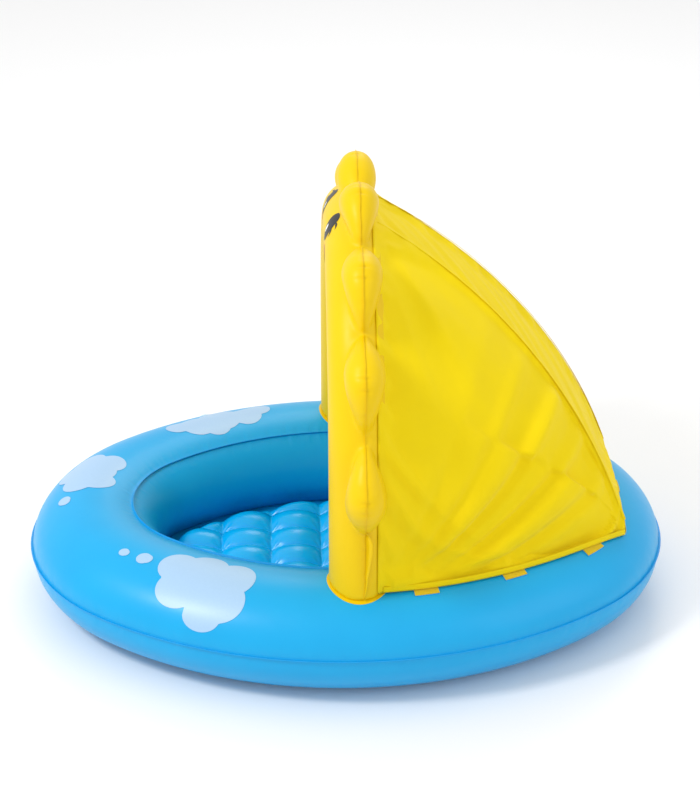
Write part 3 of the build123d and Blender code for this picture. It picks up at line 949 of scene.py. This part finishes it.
    def part_panels(self, piece: Piece) -> None:
        """Splits the skin at the seam plane into the front and back film.

        Args:
            piece: the whole skin, which is removed.
        """
        points = read_points(piece.data)
        normals = read_points(piece.data, "normal")
        faces = [tuple(p.vertices) for p in piece.data.polygons]
        centres = np.array([points[list(face), 0].mean() for face in faces])
        for name, keep, nodes in (
            ("sun_front_film", centres < self.seam_x, ("sun_front_panel", "sun_rays_near")),
            ("sun_back_film", centres >= self.seam_x, ("sun_back_panel", "sun_rays_far")),
        ):
            chosen = [faces[i] for i in np.nonzero(keep)[0]]
            used = sorted({k for face in chosen for k in face})
            order = {k: i for i, k in enumerate(used)}
            half = make_piece(
                name + "_half", points[used], [tuple(order[k] for k in face) for face in chosen],
                piece.data.materials[0],
            )
            half.data.normals_split_custom_set_from_vertices([tuple(n) for n in normals[used]])
            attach(half, POOL)
            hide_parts(*nodes)
        bpy.data.objects.remove(piece)

    def outline(self, angle: Grid, radius: float) -> Grid:
        """Radius of an outline that is round above the arch's centre and plumb below it."""
        turn = np.abs(angle)
        return np.where(turn > QUARTER_TURN, radius / np.sin(np.maximum(turn, 0.1)), radius)

    def ray_outline(self, angle: Grid) -> Grid:
        """Outline of the arch and its rays.

        Args:
            angle: angles from the top of the arch.

        Returns:
            Its radius at each angle.
        """
        edge = self.outline(angle, self.outer_radius)
        for middle in self.ray_angles():
            away = (angle - middle) * self.ray_bend_radius
            inside = np.abs(away) < self.ray_half_length
            edge = np.where(inside, np.maximum(edge, self.ray_reach(away)), edge)
        return edge

    def span(self, radius: float, foot: float, steps: int) -> Grid:
        """Evenly spaced angles along an outline, from foot to foot over the top.

        Args:
            radius: radius of the outline.
            foot: height of its feet.
            steps: number of angles.

        Returns:
            The angles from the top of the arch.
        """
        limit = QUARTER_TURN + math.atan2(self.centre_height - foot, radius)
        return np.linspace(-limit, limit, steps)

    def build_seam(self) -> None:
        """Flange of doubled film along the outline and round the doorway."""
        angle = self.span(self.outer_radius, 0.180, 1400)
        edge = self.ray_outline(angle)
        last = math.radians(self.rays[-1][0]) + self.ray_half_length / self.ray_bend_radius
        height = self.centre_height + edge * np.cos(angle)
        below = np.clip((np.abs(angle) - last + 0.06) / 0.07, 0, 1)
        fin = 15 * MM * below * np.clip((height - 0.185) / 0.10, 0, 1)
        low, high = edge - 2.2 * MM, edge + 1.3 * MM + fin
        self.flange("sun_outline_flange", angle, low, high, ("sun_outline_seam",), fin)
        angle = self.span(self.inner_radius, 0.186, 700)
        door = self.outline(angle, self.inner_radius)
        self.flange("sun_doorway_flange", angle, door - 1.2 * MM, door + 2.2 * MM, (), 0 * angle)

    def flange(
        self, name: str, angle: Grid, low: Grid, high: Grid, nodes: tuple[str, ...], lean: Grid,
    ) -> None:
        """Thin strip in the seam plane between two radii.

        Args:
            name: name of the piece.
            angle: angles from the top of the arch.
            low: inner radius at each angle.
            high: outer radius at each angle.
            nodes: CAD nodes that the piece stands for.
            lean: how far the outer edge leans towards the sunshade.
        """
        half = 0.5 * MM
        sway = 0.4 * MM * ripple(angle * self.outer_radius, 0.031, 0.047)
        corners = [(low, -half, 0), (high, -half, 0.8), (high, half, 0.8), (low, half, 0)]
        rows = [self.around(angle, r, self.seam_x + sway + x + k * lean) for r, x, k in corners]
        piece = grid_piece(name, np.stack(rows, axis=1), Wrap.AROUND, YELLOW_SEAM.material())
        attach(piece, POOL)
        if nodes:
            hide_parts(*nodes)

    def lay_print(self, name: str, shape: Grid, angle: float, turn: float, finish: Ink, lift: float) -> None:
        """Lays a printed shape on the arch's front.

        Args:
            name: name of the piece.
            shape: outline points about the print's middle, along the arch and round its section.
            angle: place of the middle, from the top of the arch.
            turn: place of the middle round the section, from the outline towards the front.
            finish: the ink.
            lift: height above the film.
        """
        flat = shape[:, None] * np.linspace(0, 1, 10)[None, :, None]
        middle = angle + flat[..., 0] / self.mid_radius
        section = turn + flat[..., 1] / self.section_radius
        radius = self.mid_radius + self.half_width * np.cos(section)
        grid = self.around(middle, radius, self.tube_x - self.half_thickness * np.sin(section))
        laid = []
        for point in grid.reshape(-1, 3):
            place, normal, _, _ = self.skin.find_nearest(Vector(point))
            laid.append(place + normal * lift)
        grid = np.array([tuple(p) for p in laid]).reshape(grid.shape)
        piece = grid_piece(name, grid, Wrap.ALONG, finish.material())
        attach(piece, POOL)

    def build_face(self) -> None:
        """Prints a plain, friendly face on the front of the arch's top."""
        for side, word in ((1, "near"), (-1, "far")):
            place = side * self.eye_angle
            eye = oval(0.0155, 0.027, -side * 0.2)
            self.lay_print(f"eye_{word}", eye, place, self.eye_section, EYE_INK, PRINT_LIFT)
            glint = oval(0.0038, 0.0070, -side * 0.2)
            shine = place - side * 0.005 / self.mid_radius
            above = self.eye_section + 0.009 / self.section_radius
            self.lay_print(f"eye_glint_{word}", glint, shine, above, GLINT_INK, 0.9 * MM)
            for step, (tilt, section) in enumerate(zip((0.15, 0.75), self.lash_sections)):
                lash = lash_shape(0.020, 0.0048, side * tilt)
                start = place + side * (0.016 + 0.003 * step) / self.mid_radius
                self.lay_print(f"lash_{word}_{step}", lash, start, section, EYE_INK, 0.55 * MM)
            cheek = oval(0.019, 0.014, 0.0)
            beside = side * self.cheek_angle
            self.lay_print(f"cheek_{word}", cheek, beside, self.cheek_section, CHEEK_INK, PRINT_LIFT)
        for index, share in enumerate(np.linspace(-1, 1, 13)):
            slope = math.atan2(-2 * share * self.smile_sag, self.smile_half_width)
            dash = oval(self.smile_half_width / 10, self.smile_line / 2, slope)
            place = share * self.smile_half_width / self.mid_radius
            section = self.smile_section + self.smile_sag * (1 - share**2) / self.section_radius
            self.lay_print(f"smile_{index}", dash, place, section, EYE_INK, PRINT_LIFT)

    def build(self) -> None:
        """Makes the whole arch."""
        self.build_skin()
        self.build_seam()
        self.build_face()


def turned(x: Grid, y: Grid, tilt: float) -> Grid:
    """Points of a flat outline, turned about zero."""
    sine, cosine = math.sin(tilt), math.cos(tilt)
    return np.stack([x * cosine - y * sine, x * sine + y * cosine], axis=-1)


def oval(half_width: float, half_height: float, tilt: float) -> Grid:
    """Outline of a tilted oval about its middle."""
    turn = circle(56)
    return turned(half_width * np.cos(turn), half_height * np.sin(turn), tilt)


def lash_shape(length: float, width: float, tilt: float) -> Grid:
    """Outline of a curved, pointed lash.

    Args:
        length: its length.
        width: its width in the middle.
        tilt: how far it is turned.

    Returns:
        The points of the outline.
    """
    turn = circle(40)
    taper = 1 - 0.75 * np.abs(np.cos(turn))
    y = 0.5 * width * np.sin(turn) * taper + 0.15 * length * np.cos(turn) ** 2
    return turned(0.5 * length * np.cos(turn), y, tilt)


# ---------------------------------------------------------------- sunshade

@dataclass
class Sunshade:
    """The cloth sunshade: one continuous sheet sewn from side, top and rear panels."""

    ring: AirRing
    arch: SunArch
    gap: float = 1.6 * MM
    lip_gap: float = 1.5 * MM
    lip_turn: float = math.radians(11)
    ridge_front_y: float = 0.062
    ridge_mid: Triple = (0.345, -0.108, 0.470)
    rear_x: float = 0.488
    rear_half_width: float = 0.156
    rear_rise: float = 0.026
    hem_bulge: tuple[float, float] = (0.285, 0.342)
    hem_lift: float = 3.9 * MM
    crown: float = 7 * MM
    rear_crown: float = 15 * MM
    steps_along: int = 96
    steps_up: int = 64
    steps_across: int = 34
    steps_drop: int = 5
    slack: float = 0.016
    settle_frames: int = 26
    most_sag: float = 10 * MM
    bulge: float = 3 * MM
    attach_turn: float = math.radians(45)
    hem_width: float = 11 * MM
    hem_inset: float = 6 * MM
    hem_out: float = 1.3 * MM
    seam_width: float = 5 * MM
    seam_out: float = 0.35 * MM

    def attach(self, angle: Grid) -> Grid:
        """Where the cloth meets the arch's back, at angles from the top.

        Args:
            angle: the angles.

        Returns:
            The points.
        """
        arch = self.arch
        radius = arch.mid_radius + (arch.half_width + self.gap) * math.cos(self.attach_turn)
        x = arch.tube_x + (arch.half_thickness + self.gap) * math.sin(self.attach_turn)
        return arch.around(angle, radius, np.array(x))

    def lip(self, edge: Grid) -> Grid:
        """Where the cloth's front edge dies onto the arch, just in front of where it meets it.

        Args:
            edge: points of the front edge.

        Returns:
            Points on the arch's skin.
        """
        arch = self.arch
        x, y, z = edge[..., 0], edge[..., 1], edge[..., 2]
        rise = np.maximum(z - arch.centre_height, 0)
        angle = np.arctan2(-y, rise)
        radius = np.hypot(y, rise)
        across = (radius - arch.mid_radius) / arch.half_width
        turn = np.arctan2((x - arch.tube_x) / arch.half_thickness, across) - self.lip_turn
        radius = arch.mid_radius + (arch.half_width + self.lip_gap) * np.cos(turn)
        x = arch.tube_x + (arch.half_thickness + self.lip_gap) * np.sin(turn)
        z = z - rise + radius * np.cos(angle) * (rise > 0)
        return np.stack([x, -radius * np.sin(angle), z], axis=-1)

    def on_ring(self, x: Grid, y: Grid) -> Grid:
        """Points of the hem's line above plan points of the ring."""
        return np.stack([x, y, self.ring.top(x, y, self.hem_lift)], axis=-1)

    def hem(self, share: Grid) -> Grid:
        """The near side hem on the ring, from the arch (0) to the rear corner (1).

        Args:
            share: how far along it.

        Returns:
            The points.
        """
        start = self.attach(np.array(QUARTER_TURN))
        a, b, c = (1 - share) ** 2, 2 * share * (1 - share), share**2
        x = a * start[0] + b * self.hem_bulge[0] + c * self.rear_x
        y = a * start[1] - b * self.hem_bulge[1] - c * self.rear_half_width
        return self.on_ring(x, y)

    def front_edge(self, share: Grid) -> Grid:
        """The near front edge, from the ring (0) up to the ridge (1).

        Args:
            share: how far along it.

        Returns:
            The points.
        """
        foot = self.hem(np.array(0.0))
        shoulder = self.attach(np.array(QUARTER_TURN))
        reach = -shoulder[1]
        straight = shoulder[2] - foot[2]
        curve = (QUARTER_TURN - math.asin(self.ridge_front_y / reach)) * reach
        along = share * (straight + curve)
        low = np.stack([0 * along + foot[0], 0 * along + foot[1], foot[2] + along], axis=-1)
        high = self.attach(QUARTER_TURN - np.maximum(along - straight, 0) / reach)
        return np.where((along < straight)[..., None], low, high)

    def ridge(self, share: Grid) -> Grid:
        """The near ridge seam, an arc from the arch (0) to the rear corner (1).

        Args:
            share: how far along it.

        Returns:
            The points.
        """
        start = self.front_edge(np.array(1.0))
        stop = self.hem(np.array(1.0)) + np.array([-1.2 * MM, 1.2 * MM, self.rear_rise])
        return arc_through(start, np.array(self.ridge_mid), stop, share)

    def side(self, along: Grid, up: Grid) -> Grid:
        """The near side panel, blended from its four edges.

        Args:
            along: share from the arch (0) to the rear (1).
            up: share from the hem (0) to the ridge (1).

        Returns:
            The points.
        """
        low, low_rear = self.hem(np.array(0.0)), self.hem(np.array(1.0))
        high, high_rear = self.ridge(np.array(0.0)), self.ridge(np.array(1.0))
        a, u = along[..., None], up[..., None]
        rear = low_rear + (high_rear - low_rear) * u
        ruled = self.hem(along) * (1 - u) + self.ridge(along) * u + self.front_edge(up) * (1 - a) + rear * a
        ends = low * (1 - a) * (1 - u) + low_rear * a * (1 - u) + high * (1 - a) * u + high_rear * a * u
        return ruled - ends

    def top(self, along: Grid, across: Grid) -> Grid:
        """The top panel, crowned between its two ridges.

        Args:
            along: share from the arch (0) to the rear (1).
            across: place from the near ridge (-1) to the far ridge (1).

        Returns:
            The points.
        """
        edge = self.ridge(along)
        crown = self.crown + (self.rear_crown - self.crown) * along
        y = -across * edge[..., 1]
        return np.stack([edge[..., 0], y, edge[..., 2] + crown * (1 - across**2)], axis=-1)

    def drop(self, across: Grid, down: Grid) -> Grid:
        """The rear drop from the top panel to the rear hem.

        Args:
            across: place from the near side (-1) to the far side (1).
            down: share from the top panel (0) to the hem (1).

        Returns:
            The points.
        """
        high = self.top(np.ones_like(across), across)
        y = across * self.rear_half_width
        low = self.on_ring(0 * y + self.rear_x, y)
        return high * (1 - down[..., None]) + low * down[..., None]

    @staticmethod
    def fan(x: Grid, z: Grid, start: float, reach: float) -> tuple[Grid, Grid, Grid]:
        """Folds that fan out from a point.

        Args:
            x: level distances from the point.
            z: heights from the point.
            start: distance by which the folds have their full size.
            reach: distance at which they have died away.

        Returns:
            Heading and distance of each place, and the folds' strength there.
        """
        away = np.hypot(x, z)
        strength = np.clip(away / start, 0, 1) * np.clip((reach - away) / 0.30, 0, 1)
        return np.arctan2(z, x), away, strength

    def folds(self, points: Grid) -> Grid:
        """Soft folds that fan out from the foot and from the shoulder of a side panel.

        Args:
            points: places on the cloth.

        Returns:
            How far the folds move each place sideways.
        """
        heading, away, strength = self.fan(points[..., 0] - 0.02, points[..., 2] - 0.15, 0.08, 0.66)
        low = np.exp(-(((heading - 0.50) / 0.42) ** 2))
        main = self.crest(13 * heading + 1.2 * np.sin(9 * away)) * low
        fine = 0.75 * self.crest(31 * heading + 1.5 * np.sin(11 * away)) * low
        foot = 12 * MM * strength * (0.6 * main + fine)
        heading, away, strength = self.fan(points[..., 0] - 0.03, 0.76 - points[..., 2], 0.10, 0.50)
        pleats = self.crest(15 * heading + 5 * away) + 0.6 * self.crest(29 * heading - 4 * away)
        return foot + 7 * MM * strength * pleats * np.clip(np.cos(heading), 0, 1)

    @staticmethod
    def crest(phase: Grid) -> Grid:
        """A wave with narrow crests and broad valleys, as pulled cloth makes."""
        wave = 0.5 + 0.5 * np.sin(phase)
        return 2 * wave**2.2 - 0.7

    def with_lip(self, panel: Grid) -> Grid:
        """A panel's points with the lip's row before its front edge."""
        return np.concatenate([self.lip(panel[0])[None], panel])

    def sheet_grid(self) -> tuple[Grid, Faces, Grid, Grid]:
        """Lays out the whole sheet before it is slackened.

        Returns:
            Its points and faces, which points are held, and how free each point is to fold.
        """
        lengths = np.linspace(0, 1, self.steps_along)
        widths = np.linspace(-1, 1, self.steps_across)
        lip_row = ((1, 0), (0, 0))
        along, up = crossed(lengths, np.linspace(0, 1, self.steps_up))
        near = self.side(along, up)
        free = np.sin(math.pi * along) * np.sin(math.pi * up)
        outward = unit(np.cross(np.gradient(near, axis=0), np.gradient(near, axis=1)))
        outward = outward * np.sign(-outward[..., 1:2])
        near = self.with_lip(near + outward * (self.bulge * free)[..., None])
        far = near * np.array([1, -1, 1])
        side_free = np.pad(np.clip(3 * free, 0, 1), lip_row)
        along, across = crossed(lengths, widths)
        top = self.with_lip(self.top(along, across))
        top_free = -np.pad(np.clip(4 * np.sin(math.pi * along) * (1 - across**2), 0, 1), lip_row)
        across, down = crossed(widths, np.linspace(0, 1, self.steps_drop))
        drop = self.drop(across, down)
        points, faces, held, fold, start = [], [], [], [], 0
        for grid, flip, loose in (
            (near, False, side_free), (far, True, side_free), (top, False, top_free),
            (drop, True, 0 * across),
        ):
            rows, columns = grid.shape[:2]
            quads = grid_faces(rows, columns, Wrap.OPEN)
            faces += [tuple(start + k for k in (face[::-1] if flip else face)) for face in quads]
            edge = np.zeros((rows, columns), bool)
            edge[0], edge[-1], edge[:, 0], edge[:, -1] = True, True, True, True
            points.append(grid.reshape(-1, 3))
            held.append(edge.reshape(-1))
            fold.append(loose.reshape(-1))
            start += rows * columns
        return np.concatenate(points), faces, np.concatenate(held), np.concatenate(fold)

    def crease(self, piece: Piece, fold: np.ndarray) -> None:
        """Adds the pulled folds to the settled cloth.

        Args:
            piece: the sheet.
            fold: how free each point is to fold, negative on the top panel.
        """
        points = read_points(piece.data)
        normals = read_points(piece.data, "normal")
        normals = normals * np.where(normals[:, 2:3] + 0.5 * np.abs(normals[:, 1:2]) < 0, -1, 1)
        wrinkle = ripple(points[:, 0] + 0.8 * points[:, 1], 0.055, 0.083, 0.037)
        size = np.where(fold < 0, -3.0 * MM * wrinkle * fold, self.folds(points) * fold)
        write_points(piece.data, points + normals * size[:, None])

    def slacken(self, piece: Piece, held: np.ndarray) -> None:
        """Lets the cloth grow a little between its held edges, so that it sags and wrinkles.

        Args:
            piece: the sheet.
            held: which points stay where they are.
        """
        before = read_points(piece.data)
        group = piece.vertex_groups.new(name="held")
        group.add([int(i) for i in np.nonzero(held)[0]], 1.0, "REPLACE")
        cloth = piece.modifiers.new("slack", "CLOTH")
        cloth.settings.quality = 6
        cloth.settings.mass = 0.10
        cloth.settings.tension_stiffness = 12
        cloth.settings.compression_stiffness = 12
        cloth.settings.shear_stiffness = 6
        cloth.settings.bending_stiffness = 0.35
        cloth.settings.vertex_group_mass = "held"
        cloth.settings.shrink_min = -self.slack
        cloth.settings.effector_weights.gravity = 0.35
        cloth.point_cache.frame_start = 1
        cloth.point_cache.frame_end = self.settle_frames
        for step in range(1, self.settle_frames + 1):
            bpy.context.scene.frame_set(step)
        apply_modifiers(piece)
        bpy.context.scene.frame_set(1)
        moved = read_points(piece.data) - before
        far = np.linalg.norm(moved, axis=1, keepdims=True)
        write_points(piece.data, before + moved * np.minimum(1, self.most_sag / np.maximum(far, 1e-9)))

    def weld_panels(self, piece: Piece) -> None:
        """Joins the panels along their seams into one sheet.

        Args:
            piece: the sheet.
        """
        weld = piece.modifiers.new("seams", "WELD")
        weld.merge_threshold = 0.15 * MM
        apply_modifiers(piece)

    def finish_cloth(self, piece: Piece) -> None:
        """Gives the sheet its thickness and a finer mesh.

        Args:
            piece: the sheet.
        """
        fine = piece.modifiers.new("fine", "SUBSURF")
        fine.levels = 1
        fine.render_levels = 1
        thicken(piece, 0.0)

    def strip(self, name: str, path: Grid, across: Grid, width: float, lift: Grid) -> Piece:
        """Narrow doubled strip of cloth sewn on along a path.

        Args:
            name: name of the piece.
            path: points along the strip's middle.
            across: direction across the strip at each point.
            width: the strip's width.
            lift: offset of the strip's middle from the path at each point.

        Returns:
            The new piece.
        """
        side = np.linspace(-0.5, 0.5, 5)
        crown = 0.35 * MM * (1 - (2 * side) ** 2)
        out = unit(lift)
        rows = [path + lift + across * (s * width) + out * c for s, c in zip(side, crown)]
        piece = grid_piece(name, np.stack(rows, axis=1), Wrap.OPEN, YELLOW_CLOTH.material())
        thicken(piece, -1.0)
        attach(piece, POOL)
        return piece

    def trims(self) -> list[Piece]:
        """Hems and ridge seams.

        Returns:
            The new pieces.
        """
        share = np.linspace(0.004, 0.996, 220)
        pieces = []
        for side, word in ((1, "near"), (-1, "far")):
            flip = np.array([1, side, 1])
            low = self.side(share, 0 * share)
            rise = unit(self.side(share, 0 * share + 0.035) - low)
            out = unit(np.cross(np.gradient(low, axis=0), rise))
            out = out * np.sign(-out[:, 1:2]) * self.hem_out
            middle = low + rise * self.hem_inset
            hem = self.strip(f"hem_{word}", middle * flip, rise * flip, self.hem_width, out * flip)
            ridge = self.ridge(share)
            inner = unit(self.top(share, 0 * share - 0.8) - ridge)
            outer = unit(self.side(share, 0 * share + 0.94) - ridge)
            out = -unit(inner + outer)
            across = unit(np.cross(np.gradient(ridge, axis=0), out)) * flip
            lift = out * self.seam_out * flip
            pieces += [hem, self.strip(f"ridge_seam_{word}", ridge * flip, across, self.seam_width, lift)]
        across = np.linspace(-0.99, 0.99, 90)
        low = self.drop(across, 0 * across + 1)
        rise = unit(self.drop(across, 0 * across + 0.7) - low)
        out = np.tile(np.array([self.hem_out, 0, 0]), (len(across), 1))
        pieces.append(self.strip("hem_rear", low + rise * self.hem_inset, rise, self.hem_width, out))
        return pieces

    def build(self) -> Piece:
        """Makes the sheet, slackens it, and adds hems and seams.

        Returns:
            The sheet.
        """
        points, faces, held, fold = self.sheet_grid()
        piece = make_piece("sunshade_cloth", points, faces, YELLOW_CLOTH.material())
        self.slacken(piece, held)
        self.crease(piece, fold)
        self.weld_panels(piece)
        self.finish_cloth(piece)
        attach(piece, POOL)
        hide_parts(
            "sunshade_side_near", "sunshade_side_far", "sunshade_top_panel", "sunshade_rear_panel",
        )
        trims = self.trims()
        return piece


def arc_through(start: Grid, middle: Grid, stop: Grid, share: Grid) -> Grid:
    """Points of the circular arc through three points.

    Args:
        start: first point.
        middle: a point on the way.
        stop: last point.
        share: how far along the arc, from 0 to 1.

    Returns:
        The points.
    """
    a, b = middle - start, stop - start
    normal = np.cross(a, b)
    size = normal @ normal
    to_centre = ((b @ b) * np.cross(normal, a) * -1 + (a @ a) * np.cross(normal, b)) / (-2 * size)
    centre = start + to_centre
    first = start - centre
    radius = np.linalg.norm(first)
    first = first / radius
    second = unit(np.cross(normal, first))
    turn = math.atan2((stop - centre) @ second, (stop - centre) @ first) % FULL_TURN
    angle = (share * turn)[..., None]
    return centre + radius * (np.cos(angle) * first + np.sin(angle) * second)


# ---------------------------------------------------------------- carried-over parts

@dataclass(frozen=True)
class Fittings:
    """CAD pieces whose shape is right, which get their own finishes."""

    def dress(self) -> None:
        """Gives each remaining CAD node its material."""
        finishes = {
            "valve": VALVE_VINYL.material(),
            "rib_near": ROD.material(),
            "rib_far": ROD.material(),
            "hook_patches": TAPE.material(),
            "loop_patches": LOOP_TAPE.material(),
            "foot_patch": YELLOW_SEAM.material(),
            "rib_sleeve": YELLOW_CLOTH.material(),
            "front_binding": YELLOW_SEAM.material(),
            "floor_rim_weld": SEAM_FILM.material(),
            "ring_outer_seam": SEAM_FILM.material(),
            "ring_inner_seam": SEAM_FILM.material(),
        }
        for node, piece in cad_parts.items():
            for word, finish in finishes.items():
                if word in node:
                    for material_slot in piece.material_slots:
                        material_slot.material = finish


# ---------------------------------------------------------------- studio

@dataclass(frozen=True)
class Studio:
    """Pale floor, soft lights and the camera."""

    camera: Triple = (-0.1125, -3.7974, 2.2624)
    aim: Triple = (0.0069, 0.0, 0.3658)
    lens: float = 107.2
    glow: float = 0.90
    floor_half: float = 9.0
    floor_height: float = -0.5 * MM

    def place(self, name: str, data: bpy.types.ID, spot: Triple) -> Piece:
        """Puts a light or a camera in the scene and points it at the pool.

        Args:
            name: name of the object.
            data: the light or camera.
            spot: where it goes.

        Returns:
            The new object.
        """
        thing = bpy.data.objects.new(name, data)
        thing.location = spot
        thing.rotation_euler = (Vector(self.aim) - Vector(spot)).to_track_quat("-Z", "Y").to_euler()
        bpy.context.scene.collection.objects.link(thing)
        return thing

    def lamp(self, name: str, spot: Triple, size: float, power: float) -> None:
        """Adds a square soft light.

        Args:
            name: name of the light.
            spot: where it hangs.
            size: length of its side.
            power: its power, in watts.
        """
        light = bpy.data.lights.new(name, "AREA")
        light.size = size
        light.energy = power
        self.place(name, light, spot)

    def build(self) -> None:
        """Makes the world, floor, lights and camera."""
        scene = bpy.context.scene
        scene.view_settings.view_transform = "Standard"
        world = bpy.data.worlds.new("studio")
        world.use_nodes = True
        background = world.node_tree.nodes["Background"]
        background.inputs["Color"].default_value = (1, 1, 1, 1)
        background.inputs["Strength"].default_value = self.glow
        scene.world = world
        square = np.array([(-1, -1, 0), (1, -1, 0), (1, 1, 0), (-1, 1, 0)]) * self.floor_half
        corners = square + np.array([0, 0, self.floor_height])
        make_piece("studio_floor", corners, [(0, 1, 2, 3)], STUDIO_PAPER.material())
        self.lamp("key", (-2.3, -1.3, 2.9), 0.8, 58)
        self.lamp("fill", (2.6, -1.6, 1.6), 2.0, 10)
        self.lamp("rim", (0.5, 2.6, 2.6), 1.6, 18)
        camera = bpy.data.cameras.new("camera")
        camera.lens = self.lens
        scene.camera = self.place("camera", camera, self.camera)


def main() -> None:
    """Builds the pool piece by piece and reports each one."""
    logging.basicConfig(level=logging.INFO, format="%(name)s: %(message)s")
    Studio().build()
    ring = AirRing()
    ring.build()
    LOG.info("air ring and clouds")
    QuiltedFloor(ring.path).build()
    LOG.info("quilted floor")
    arch = SunArch(ring)
    arch.build()
    LOG.info("sun arch")
    Sunshade(ring, arch).build()
    LOG.info("sunshade")
    Fittings().dress()
    LOG.info("fittings")
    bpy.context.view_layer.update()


if __name__ == "__main__":
    main()
